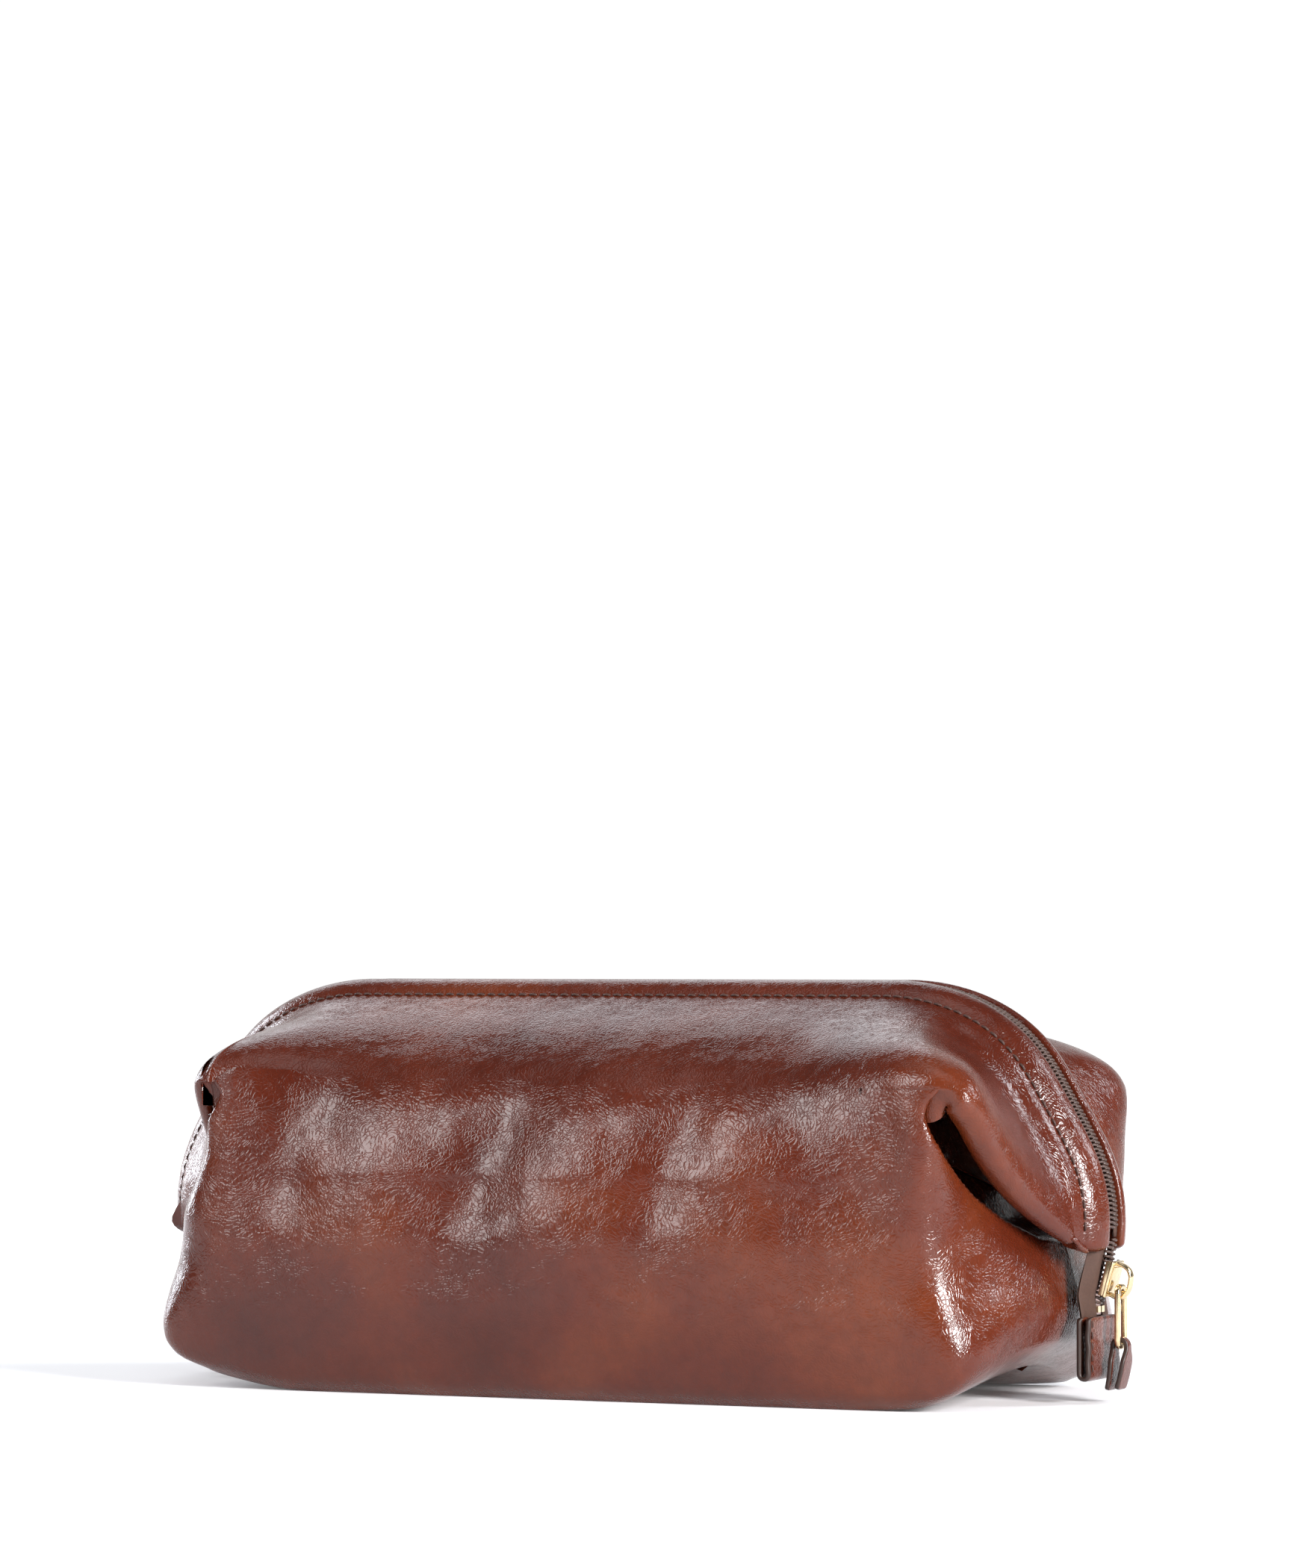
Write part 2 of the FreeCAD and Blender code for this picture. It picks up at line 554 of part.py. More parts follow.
def make_pull():
    """The flat link that hangs in the crown, and the leather thong folded through it."""
    half, thick, play, length = dim("link_half"), dim("link_thick"), dim("link_play"), dim("link_length")
    r = dim("outer_plate_r") + dim("plate_thick") + thick / 2 + play + 0.9
    angle = slider_angle() + (dim("crown_foot") - dim("slider_half") + thick / 2 + play) / dim("frame_r")
    top = V(dim("flat_half") + r * math.cos(angle), 0, ARC_Z + r * math.sin(angle))
    outside = Part.makeBox(thick, 2 * half, length - thick / 2, top + V(-thick / 2, -half, thick / 2 - length))
    corners = [e for e in outside.Edges
               if abs(e.tangentAt(e.FirstParameter).x) > 0.99 and e.CenterOfMass.z < top.z - thick]
    window = Part.makeBox(3 * thick, 2 * (half - thick), length,
                          top + V(-1.5 * thick, thick - half, 1.5 * thick - length))
    bar = Part.makeCylinder(thick / 2, 2 * half, top - V(0, half, 0), V(0, 1, 0))
    link = outside.makeFillet(2.0, corners).cut(window).fuse(bar).removeSplitter()
    feature("pull_link", link)

    eye, leather = thick * 0.75, dim("thong_thick")
    neck, width, neck_z = dim("thong_neck"), dim("thong_width"), dim("thong_neck_z")
    seat = top + V(0, 0, thick - length)
    low = seat.z - dim("thong_length")
    loop = Part.makeCylinder(eye + leather, neck, seat - V(0, neck / 2, 0), V(0, 1, 0))
    full = 2 * (eye + leather)
    strap = Part.makeBox(full, width, seat.z - neck_z - low, V(seat.x - full / 2, -width / 2, low))
    join = Part.makeBox(full, neck, neck_z, V(seat.x - full / 2, -neck / 2, seat.z - neck_z))
    thong = loop.fuse([strap, join])
    thong = thong.cut(Part.makeCylinder(eye, width, seat - V(0, width / 2, 0), V(0, 1, 0)))
    feature("pull_thong", thong.removeSplitter())


make_box()
make_pocket()
make_shoulders()
make_gussets()
make_frame_half(-1, "front")
make_frame_half(1, "back")
make_rivets()
make_tails()
make_slider()
make_pull()

doc.recompute()
for obj in doc.Objects:
    if {"Invalid", "Error"} & set(obj.State):
        raise RuntimeError(f"{obj.Label} failed: {obj.State}")
for obj in finished:
    if obj.Shape.isNull() or not obj.Shape.isValid() or not obj.Shape.Solids:
        raise RuntimeError(f"{obj.Label} has no valid solid")
os.makedirs("parts", exist_ok=True)
for obj in finished:
    obj.Shape.exportStep(f"parts/{obj.Label}.step")
    print(obj.Label, len(obj.Shape.Solids), round(obj.Shape.Volume, 1))
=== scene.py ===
"""Looks of the framed leather wash bag, leather, lining, zip and brass, on the frame of its solid model.

Lengths are in millimetres and become metres in make_mesh, apart from the lights and the camera, in metres.
"""
import json
import math

import bmesh
import bpy
import numpy as np
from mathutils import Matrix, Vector


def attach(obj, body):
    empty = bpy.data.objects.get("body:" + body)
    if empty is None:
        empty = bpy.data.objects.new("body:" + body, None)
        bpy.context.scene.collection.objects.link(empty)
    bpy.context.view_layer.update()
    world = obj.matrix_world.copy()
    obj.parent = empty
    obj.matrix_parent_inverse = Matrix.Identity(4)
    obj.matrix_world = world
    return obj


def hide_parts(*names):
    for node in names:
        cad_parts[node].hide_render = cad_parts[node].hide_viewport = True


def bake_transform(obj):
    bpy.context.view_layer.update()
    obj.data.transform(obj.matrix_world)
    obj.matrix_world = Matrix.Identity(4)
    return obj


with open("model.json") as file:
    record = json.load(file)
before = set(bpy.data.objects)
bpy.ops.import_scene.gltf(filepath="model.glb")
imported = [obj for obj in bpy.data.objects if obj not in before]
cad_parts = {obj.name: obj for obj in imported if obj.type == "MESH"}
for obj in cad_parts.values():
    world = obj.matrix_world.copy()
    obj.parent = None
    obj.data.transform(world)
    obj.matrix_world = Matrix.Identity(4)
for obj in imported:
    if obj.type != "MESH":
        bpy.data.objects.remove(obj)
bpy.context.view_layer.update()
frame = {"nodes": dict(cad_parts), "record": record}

# The frame, the zip's line and the fold of the box
FLAT = 86.0  # half length of the frame's straight top
TOP_Z = 122.5
FRAME_R = 68.0  # radius of the frame's two ends
ARC_Z = TOP_Z - FRAME_R
FLATTER = 3.5  # how far the ends of the frame lie inside a true circle
PIVOT_Z = 48.5
FOLD_Z = 92.0
LEAN_Z = 66.0  # the front stands upright up to here and leans inwards above
CENTRE = np.array([-2.7, 0.0, 0.0])  # the middle of the box: the pull stands out beyond the right end

# The leather and its seams
LEATHER = 1.6
SHOULDER_LEATHER = 0.9
CLOTH = 0.4
LINING_GAP = 1.2  # between the leather and its lining
RECESS = {1: 15.0, -1: 9.0}  # how far the right and the left end fold in under the flaps
LEFT_INSET = 10.0  # how far the upper corners of the left end stand in
LEFT_TUCK = 6.0  # how much further they do so near the fold
STITCH_DEPTH = 4.9
STITCH_Y = 14.0
STITCH_PITCH = 3.5


# ---- helpers -------------------------------------------------------------------------------------
def smooth(t):
    """A step from 0 to 1 with level ends."""
    t = np.clip(t, 0.0, 1.0)
    return t * t * (3 - 2 * t)


def lerp(a, b, t):
    """From a to b as t goes from 0 to 1."""
    return a + (b - a) * t


def table(rows, key):
    """Interpolates every column of a table against its first one, smoothly."""
    rows = np.array(rows, float)
    x, y = rows[:, 0], rows[:, 1:]
    slope = np.gradient(y, x, axis=0)
    k = np.clip(np.searchsorted(x, key) - 1, 0, len(x) - 2)
    h = x[k + 1] - x[k]
    t = np.clip((key - x[k]) / h, 0, 1)[..., None]
    h = h[..., None]
    return ((1 + 2 * t) * (1 - t) ** 2 * y[k] + t * (1 - t) ** 2 * h * slope[k]
            + t * t * (3 - 2 * t) * y[k + 1] + t * t * (t - 1) * h * slope[k + 1])


def bezier(p0, p1, p2, p3, t):
    """Points of a cubic curve at the shares t."""
    t = np.asarray(t)[..., None]
    return (1 - t) ** 3 * p0 + 3 * t * (1 - t) ** 2 * p1 + 3 * t * t * (1 - t) * p2 + t ** 3 * p3


def soften(grid, sigma):
    """Gaussian smoothing along the first axis, whose spacing is taken as 1. The ends reflect."""
    reach = int(math.ceil(3 * sigma))
    weights = np.exp(-0.5 * (np.arange(-reach, reach + 1) / sigma) ** 2)
    weights /= weights.sum()
    padded = np.concatenate([2 * grid[:1] - grid[reach:0:-1], grid, 2 * grid[-1:] - grid[-2:-reach - 2:-1]])
    return sum(w * padded[k:k + len(grid)] for k, w in enumerate(weights))


def normals_of(grid):
    """Unit normals of a grid of points."""
    du = np.gradient(grid, axis=0, edge_order=2)
    dv = np.gradient(grid, axis=1, edge_order=2)
    n = np.cross(du, dv)
    return n / np.maximum(np.linalg.norm(n, axis=2, keepdims=True), 1e-9)


def make_mesh(name, points, faces, material=None, normals=None):
    """An object from points in millimetres. normals are per point, and None leaves them to Blender."""
    mesh = bpy.data.meshes.new(name)
    mesh.from_pydata([tuple(p) for p in (np.asarray(points) + CENTRE) * 0.001], [], faces)
    mesh.validate()
    mesh.polygons.foreach_set("use_smooth", [True] * len(mesh.polygons))
    if normals is not None:
        mesh.normals_split_custom_set_from_vertices([tuple(n) for n in normals])
    obj = bpy.data.objects.new(name, mesh)
    bpy.context.scene.collection.objects.link(obj)
    if material:
        mesh.materials.append(material)
    return obj


def grid_faces(cols, rows, base=0, flip=False):
    """Quads of a cols by rows grid of points stored column by column."""
    faces = []
    for i in range(cols - 1):
        for j in range(rows - 1):
            a, b = base + i * rows + j, base + (i + 1) * rows + j
            quad = (a, b, b + 1, a + 1)
            faces.append(quad[::-1] if flip else quad)
    return faces


def leather_sheet(name, grid, normals, thickness, material, flip):
    """A sheet with thickness: the grid is its outer side and the normals point outwards."""
    cols, rows = grid.shape[:2]
    inner = grid - normals * thickness
    points = np.concatenate([grid.reshape(-1, 3), inner.reshape(-1, 3)])
    count = cols * rows
    faces = grid_faces(cols, rows, 0, flip) + grid_faces(cols, rows, count, not flip)
    rim = ([i * rows for i in range(cols)] + [(cols - 1) * rows + j for j in range(1, rows)]
           + [i * rows + rows - 1 for i in range(cols - 2, -1, -1)] + [j for j in range(rows - 2, 0, -1)])
    for a, b in zip(rim, rim[1:] + rim[:1]):
        quad = (a, a + count, b + count, b)
        faces.append(quad[::-1] if flip else quad)
    shown = np.concatenate([normals.reshape(-1, 3), -normals.reshape(-1, 3)])
    return make_mesh(name, points, faces, material, shown)


def mirror_y(grid):
    """The front's points or normals turned into those of the back."""
    return grid * np.array([1, -1, 1])


def half_name(side):
    """The front half of the bag is side -1 and the back half is side 1."""
    return "front" if side < 0 else "back"


def declare(obj, body, slot, *nodes):
    """Hangs a piece on the body it moves with and hides the CAD nodes it stands for. slot, what the piece is
    made of, is not used.
    """
    if nodes:
        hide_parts(*nodes)
    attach(obj, body)


# ---- materials -----------------------------------------------------------------------------------
class Nodes:
    """Short calls for building one material."""

    def __init__(self, name):
        self.material = bpy.data.materials.new(name)
        self.material.use_nodes = True
        self.tree = self.material.node_tree
        self.shader = self.tree.nodes["Principled BSDF"]

    def add(self, kind, **values):
        node = self.tree.nodes.new(kind)
        for key, value in values.items():
            if key in node.inputs:
                node.inputs[key].default_value = value
            else:
                setattr(node, key, value)
        return node

    def link(self, source, output, target, socket):
        self.tree.links.new(source.outputs[output], target.inputs[socket])

    def coords(self, scale=(1, 1, 1)):
        where = self.add("ShaderNodeTexCoord")
        mapping = self.add("ShaderNodeMapping", Scale=scale)
        self.link(where, "Object", mapping, "Vector")
        return mapping

    def noise(self, where, scale, detail=2.0, roughness=0.5, distortion=0.0):
        node = self.add("ShaderNodeTexNoise", Scale=scale, Detail=detail, Roughness=roughness,
                        Distortion=distortion)
        self.link(where, "Vector", node, "Vector")
        return node

    def ramp(self, source, output, stops):
        node = self.add("ShaderNodeValToRGB")
        self.link(source, output, node, "Fac")
        while len(node.color_ramp.elements) < len(stops):
            node.color_ramp.elements.new(0.5)
        for element, (position, color) in zip(node.color_ramp.elements, stops):
            element.position = position
            element.color = (*color, 1.0)
        return node

    def bump(self, source, output, distance, strength=1.0, under=None):
        node = self.add("ShaderNodeBump", Distance=distance, Strength=strength)
        self.link(source, output, node, "Height")
        if under:
            self.link(under, "Normal", node, "Normal")
        return node

    def mix(self, factor, a, b, mode="MIX"):
        """factor is a number or (node, output); a and b are colours or (node, output)."""
        node = self.add("ShaderNodeMix", data_type="RGBA", blend_type=mode)
        for value, index in ((factor, 0), (a, 6), (b, 7)):
            if isinstance(value, tuple) and hasattr(value[0], "outputs"):
                self.tree.links.new(value[0].outputs[value[1]], node.inputs[index])
            elif index == 0:
                node.inputs[0].default_value = value
            else:
                node.inputs[index].default_value = (*value, 1.0)
        return node

    def set(self, **values):
        for key, value in values.items():
            self.shader.inputs[key.replace("_", " ")].default_value = value


def leather_material():
    """Glossy dyed leather: mottled red-brown, with a fine pebble, creases and uneven polish."""
    m = Nodes("Leather")
    where = m.coords()
    cloud = m.noise(where, 14.0, 3.0, 0.55)
    tint = m.ramp(cloud, "Fac", ((0.30, (0.048, 0.0066, 0.0026)), (0.52, (0.078, 0.0120, 0.0040)),
                                 (0.72, (0.124, 0.0250, 0.0070))))
    fine = m.noise(where, 260.0, 3.0, 0.6)
    speck = m.ramp(fine, "Fac", ((0.35, (0.72, 0.72, 0.72)), (0.65, (1.0, 1.0, 1.0))))
    color = m.mix(0.5, (tint, "Color"), (speck, "Color"), "MULTIPLY")
    m.link(color, 2, m.shader, "Base Color")
    grain = m.add("ShaderNodeTexVoronoi", feature="DISTANCE_TO_EDGE", Scale=820.0, Randomness=1.0)
    warp = m.noise(where, 90.0, 2.0)
    shifted = m.mix(0.012, (where, "Vector"), (warp, "Color"), "ADD")
    m.link(shifted, 2, grain, "Vector")
    pebble = m.ramp(grain, "Distance", ((0.0, (0, 0, 0)), (0.22, (1, 1, 1))))
    crease = m.noise(where, 150.0, 4.0, 0.62, 0.8)
    wave = m.noise(where, 34.0, 2.0, 0.5)
    first = m.bump(wave, "Fac", 0.0006, 0.35)
    second = m.bump(crease, "Fac", 0.0005, 0.34, first)
    third = m.bump(pebble, "Color", 0.00012, 0.4, second)
    m.link(third, "Normal", m.shader, "Normal")
    gloss = m.ramp(crease, "Fac", ((0.3, (0.25, 0.25, 0.25)), (0.7, (0.17, 0.17, 0.17))))
    m.link(gloss, "Color", m.shader, "Roughness")
    m.set(Coat_Weight=0.08, Coat_Roughness=0.12, Specular_IOR_Level=0.38)
    return m.material


def plain(name, color, roughness, metallic=0.0, bump_scale=400.0, bump_depth=0.00005):
    """A simple surface with a little variation of colour and height."""
    m = Nodes(name)
    where = m.coords()
    noise = m.noise(where, bump_scale, 3.0, 0.6)
    dark = tuple(c * 0.75 for c in color)
    shade = m.ramp(noise, "Fac", ((0.3, dark), (0.7, color)))
    m.link(shade, "Color", m.shader, "Base Color")
    normal = m.bump(noise, "Fac", bump_depth, 0.6)
    m.link(normal, "Normal", m.shader, "Normal")
    m.set(Roughness=roughness, Metallic=metallic)
    return m.material


LEATHER_MAT = leather_material()
EDGE_MAT = plain("PaintedEdge", (0.028, 0.012, 0.008), 0.45)
THREAD_MAT = plain("Thread", (0.045, 0.014, 0.008), 0.6, bump_scale=1500.0)
LINING_MAT = plain("Lining", (0.085, 0.072, 0.062), 0.85, bump_scale=1200.0, bump_depth=0.0001)
TAPE_MAT = plain("ZipTape", (0.060, 0.026, 0.016), 0.8, bump_scale=1400.0, bump_depth=0.0001)
COIL_MAT = plain("ZipCoil", (0.055, 0.026, 0.018), 0.4)
BRASS_MAT = plain("Brass", (0.86, 0.68, 0.42), 0.2, 1.0, 700.0, 0.00001)
BOARD_MAT = plain("Board", (0.22, 0.18, 0.13), 0.8)
STEEL_MAT = plain("Steel", (0.5, 0.5, 0.5), 0.35, 1.0)
SLOT_MATERIALS = {"leather": LEATHER_MAT, "lining_fabric": LINING_MAT, "zip_tape": TAPE_MAT,
                  "zip_coil": COIL_MAT, "brass": BRASS_MAT, "spring_steel": STEEL_MAT, "board": BOARD_MAT}


# ---- the lower leather ---------------------------------------------------------------------------
# height, corner half length, bulge of the end, half depth, softness of the corner
WALL = ((0, 118, 8, 57, 4.0), (3, 124, 9, 60, 4.0), (8, 128.5, 10, 61.8, 4.0), (14, 130, 10.5, 63.0, 4.5),
        (25, 127, 15, 64.8, 5.5), (35, 123, 17, 66.0, 6.0), (45, 121, 16.5, 66.6, 6.0),
        (55, 121, 12.5, 66.2, 5.0), (65, 122.5, 5.5, 65.8, 4.0), (75, 124, 0, 66, 3.6),
        (82, 125.2, -5, 66, 3.6), (86, 126.6, -8, 66, 3.6), (89, 128.6, -11, 66, 3.6),
        (92, 131.5, -15, 65.8, 3.4), (98, 126, -10, 63, 3.2))
# the front at the middle of the bag from LEAN_Z to the hem: (distance from the middle, height)
PROFILE = np.array(((64.6, LEAN_Z), (61.4, 94.0), (46.0, 110.0), (16.8, 116.2)))
SPLIT = 0.36  # share of the profile at which the lower leather ends
SPLIT_ROWS = 18
EXTRA = 6  # rows carried on past the split, to tuck in or to get true normals from
TUCKED = np.array((0.25, 0.8, 1.8))  # how far the last rows are tucked in under the shoulder
UNDERSIDE = ((26, 0.3), (14, 0.2), (6, 0.1), (2, 0.0))  # way in from the lower edge, height
END_POINTS = 42
FRONT_POINTS = 156
# where the end wall folds inwards under the flap: distance from the middle, height
FOLD_LINE = ((0, 45), (15, 47), (30, 53), (42, 60), (51, 67), (58, 72), (63, 77), (66, 82), (70, 84))


def shorter(x):
    """Share of LEFT_INSET by which the upper left end stands in, at a length x."""
    return smooth((np.abs(x) - 60) / 62)


def bow(x):
    """How much further the front stands out at a length x than at the corners."""
    return 3.2 * np.clip(1 - (x / 124) ** 2, 0, 1)


def profile(t, at):
    """Distance and height of the front at a share t of the profile, for columns at lengths `at`."""
    curve = bezier(*PROFILE, t)
    curve[..., 0] += bow(at) * (1 - t) ** 2
    ear = smooth((np.abs(at) - 62) / 58)
    straight = np.stack([65.9 + bow(at) * (1 - t) ** 2, LEAN_Z + (FOLD_Z - LEAN_Z) * t / SPLIT], -1)
    return lerp(curve, straight, ear[..., None])


# dents and bulges of the front: x, height, half width, half height, depth inwards, lean of the dent
FRONT_DENTS = ((-86, 66, 8, 17, 1.7, 0.1), (-22, 64, 9, 18, 2.3, 0.5), (39, 68, 6, 18, 1.5, 0.35),
               (-56, 66, 13, 22, -1.2, 0.0), (10, 58, 11, 24, -1.6, 0.1), (62, 72, 12, 18, -1.0, 0.0),
               (86, 52, 12, 22, 1.5, 0.2), (0, 36, 150, 8, 0.7, 0.0), (106, 40, 12, 24, 1.0, 0.0),
               (119, 76, 5, 14, -1.4, 0.0), (-45, 105, 40, 5, 0.8, 0.0), (60, 103, 30, 6, 0.9, 0.0))
BACK_DENTS = ((-70, 60, 14, 24, 2.0, 0.2), (10, 56, 12, 26, 2.2, 0.1), (66, 60, 12, 24, 1.6, 0.3),
              (-30, 64, 16, 22, -1.6, 0.0), (40, 60, 14, 24, -1.6, 0.0), (0, 34, 150, 9, 0.8, 0.0))


def dented(grid, normals, dents):
    """Moves points along their normals by the sum of soft bumps laid out over length and height."""
    depth = np.zeros(grid.shape[:2])
    for x, z, wide, tall, amount, lean in dents:
        across = grid[..., 0] - x - lean * (grid[..., 2] - z)
        depth += amount * np.exp(-0.5 * ((across / wide) ** 2 + ((grid[..., 2] - z) / tall) ** 2))
    facing = np.clip(-normals[..., 1], 0, 1)
    x, z = grid[..., 0], grid[..., 2]
    ripple = (0.16 * np.sin(x * 0.21 + 1.3 * np.sin(z * 0.09)) * np.sin(z * 0.13 + 0.7)
              + 0.05 * np.sin(x * 0.47 + z * 0.11 + 2 * np.sin(x * 0.05)))
    return grid - normals * ((depth + ripple) * facing)[..., None]


def lift(x, y):
    """How far the underside stands off the table near the ends."""
    end = 12.0 * smooth((np.abs(x) - 92) / 46) * np.clip(1 - (y / 62) ** 2, 0, 1)
    left = 4.5 * smooth((-x - 80) / 45)
    return end + left


def left_stand_in(z):
    """How far the left end stands in at a height: over all its upper half, and further near the fold."""
    return LEFT_INSET * smooth((z - 50) / 26), LEFT_TUCK * smooth((z - 80) / 12)


def wall_row(z, share):
    """One level of the front half of the box, or above LEAN_Z one share of the profile, left to right."""
    corner, bulge, deep, soft = table(WALL, np.array(z))
    y = -deep * np.linspace(0, 1, END_POINTS, endpoint=False)
    end = np.stack([corner + bulge * (1 - (y / deep) ** 2), y, np.full(END_POINTS, z)], 1)
    x = np.linspace(corner, -corner, FRONT_POINTS)
    if share > 0:
        yz = profile(np.full(FRONT_POINTS, share), x)
        front = np.stack([x, -yz[:, 0], yz[:, 1]], 1)
    else:
        lean = 1.2 * (1 - smooth((np.abs(x) - 62) / 58)) * smooth((z - 42) / 24)
        front = np.stack([x, lean - deep - bow(x) * smooth(z / 30), np.full(FRONT_POINTS, z)], 1)
    other = end[::-1] * np.array([-1, 1, 1])
    return soften(np.concatenate([end, front, other])[::-1], soft)


def fold_ends(row, z):
    """Moves the ends of a level inwards above the fold line, and further at the left."""
    far, off = np.abs(row[:, 0]), np.abs(row[:, 1])
    above = smooth((z - np.interp(off, *zip(*FOLD_LINE))) / 8)
    inner = above * smooth((far - 112) / 8) * smooth((66 - off) / 4)
    row[:, 0] -= np.sign(row[:, 0]) * np.where(row[:, 0] > 0, RECESS[1], RECESS[-1]) * inner
    upper, near_fold = left_stand_in(z)
    inset = upper * shorter(row[:, 0]) + near_fold * smooth((np.abs(row[:, 0]) - 108) / 14)
    row[:, 0] += np.where(row[:, 0] < 0, inset, 0)


def underside_rows(edge):
    """Rows that carry the lower edge a little way in under the bag."""
    rows = []
    for inward, rise in UNDERSIDE:
        row = edge.copy()
        row[:, 0] -= np.sign(row[:, 0]) * np.minimum(inward, np.abs(row[:, 0]))
        row[:, 1] = np.minimum(row[:, 1] + inward, 0)
        row[:, 2] += rise
        rows.append(row)
    return np.stack(rows, 1)


def wall_grid(dents):
    """Outer side of the front half of the box: columns from the left end seam round to the right one."""
    levels = [(z, 0.0) for z in (0.0, 0.5, 1.2, 2.2, 3.4, *np.linspace(5, LEAN_Z, 42))]
    for k in range(1, SPLIT_ROWS + EXTRA + 1):
        levels.append((LEAN_Z + (FOLD_Z - LEAN_Z) * k / SPLIT_ROWS, SPLIT * k / SPLIT_ROWS))
    rows = []
    for z, share in levels:
        row = wall_row(z, share)
        fold_ends(row, z)
        rows.append(row)
    grid = np.stack(rows, 1)
    grid[0, :, 1] = 0
    grid[-1, :, 1] = 0
    low = np.clip(1 - grid[..., 2] / 55, 0, 1) ** 1.5
    grid[..., 2] += lift(grid[..., 0], grid[..., 1]) * low
    grid = np.concatenate([underside_rows(grid[:, 0]), grid], 1)
    grid = dented(grid, normals_of(grid), dents)
    return grid, normals_of(grid)


def tuck(grid):
    """Draws the upper edge of the lower leather in under the shoulder, and more so near the ends."""
    top = grid[:, -len(TUCKED):]
    near_end = smooth((np.abs(top[..., 0]) - 98) / 16)
    top[..., 1] = np.minimum(top[..., 1] + TUCKED * (1 + 1.5 * near_end), 0)
    top[..., 0] -= np.sign(top[..., 0]) * TUCKED * near_end


def lining_grid(grid, normals, side):
    """The lining's outer side: close inside the leather, but upright across the ends where they fold in."""
    x, z = grid[..., 0], grid[..., 2]
    pucker = 0.25 * np.sin(x * 0.33 + np.sin(z * 0.21)) * np.sin(z * 0.17 + x * 0.05)
    reach = lerp(200.0, 100.0, smooth((z - 30) / 14))
    far = np.abs(x) - LEATHER - LINING_GAP
    inside = grid.copy()
    inside[..., 0] = np.sign(x) * np.minimum(far, reach)
    inside[..., 1] = side * np.maximum(side * grid[..., 1] - LEATHER - LINING_GAP - pucker, 0)
    endways = np.sign(x)[..., None] * np.array([1.0, 0, 0])
    turned = np.where((far > reach)[..., None], endways, normals)
    rows = slice(len(UNDERSIDE) + 2, -len(TUCKED))
    return inside[:, rows], turned[:, rows]


def make_lower(side):
    """The static leather and lining of one half. Returns the lower edge of the leather."""
    grid, normals = wall_grid(FRONT_DENTS if side < 0 else BACK_DENTS)
    dropped = EXTRA - len(TUCKED)
    grid, normals = grid[:, :-dropped], normals[:, :-dropped]
    tuck(grid)
    if side > 0:
        grid, normals = mirror_y(grid), mirror_y(normals)
    name = half_name(side)
    skin = leather_sheet(name + "_panel_leather", grid, normals, LEATHER, LEATHER_MAT, flip=side > 0)
    declare(skin, "bag_body", "leather", name + "_panel")
    inside, turned = lining_grid(grid, normals, side)
    cloth = leather_sheet(name + "_lining_cloth", inside, turned, CLOTH, LINING_MAT, flip=side > 0)
    declare(cloth, "bag_body", "lining_fabric", name + "_lining")
    if side > 0:
        make_pocket(inside, turned)
    return grid[:, 0]


def make_pocket(inside, normals):
    """A flat pocket sewn to the back lining, with a bound mouth that stands a little open."""
    middle = inside[len(inside) // 2]
    rows = np.where((middle[:, 2] > 20) & (middle[:, 2] < 68))[0]
    cols = np.where(np.abs(inside[:, rows[0], 0]) < 70)[0]
    part = inside[cols[0]:cols[-1] + 1, rows[0]:rows[-1] + 1]
    turned = normals[cols[0]:cols[-1] + 1, rows[0]:rows[-1] + 1]
    u = np.linspace(0, 1, part.shape[0])[:, None]
    v = np.linspace(0, 1, part.shape[1])[None, :]
    stand = 0.8 + 2.2 * np.sin(math.pi * u) ** 0.7 * v ** 2 + 0.3 * np.sin(9 * u + 4 * v)
    face = part - turned * np.maximum(stand, 0.7)[..., None]
    pocket = leather_sheet("inner_pocket_cloth", face, turned, 0.5, LINING_MAT, flip=True)
    declare(pocket, "bag_body", "lining_fabric", "inner_pocket")
    edge, out = face[:, -6:], turned[:, -6:]
    binding = leather_sheet("inner_pocket_binding", edge - out * 0.5, out, 0.7, THREAD_MAT, flip=True)
    declare(binding, "bag_body", "lining_fabric")


def make_base(ring):
    """The underside, its stiffener and the lining over it. ring is the lower edge of the front leather."""
    across = np.linspace(1, -1, 48)
    # piece, growth past the ring, height over the leather's underside, thickness, material, slot, node
    pieces = (("base_panel_leather", 1.0, 0.3, 1.3, LEATHER_MAT, "leather", "base_panel"),
              ("base_lining_cloth", 1.03, 5.0, CLOTH, LINING_MAT, "lining_fabric", "base_lining"))
    for name, grow, rise, thick, material, slot_name, node in pieces:
        x = ring[:, 0][:, None] * grow + 0 * across
        y = ring[:, 1][:, None] * grow * across
        grid = np.stack([x, y, lift(x, y) + rise], 2)
        normals = np.zeros_like(grid) + np.array([0, 0, 1.0])
        obj = leather_sheet(name, grid + normals * thick, normals, thick, material, flip=False)
        declare(obj, "bag_body", slot_name, node)
    points, faces = soft_block((196, 106, 2.0), 0.8)
    board = make_mesh("base_stiffener", points + np.array([0, 0, 3.2]), faces, BOARD_MAT)
    declare(board, "bag_body", "board", "base_board")


def gusset_row(end, t):
    """One row of an end's folded leather, at a share t of the way from the box's fold down to the pivot."""
    opened = 2 * (3 * t * t - 2 * t ** 3) - t
    half = min(63.0, 67.0 * (1 - opened)) * (1 - t ** 6) + 0.6
    z = FOLD_Z - (FOLD_Z - PIVOT_Z) * t
    corner, bulge, deep, _ = table(WALL, np.array(z))
    y = np.linspace(-half, half, 31)
    inner = smooth((z - np.interp(np.abs(y), *zip(*FOLD_LINE))) / 8)
    x = corner + bulge * (1 - (y / deep) ** 2) - RECESS[end] * inner
    if end < 0:
        x = x - sum(left_stand_in(z))
    return np.stack([end * lerp(x + 1.9, 139.0, t ** 4), y, np.full(len(y), z)], 1)


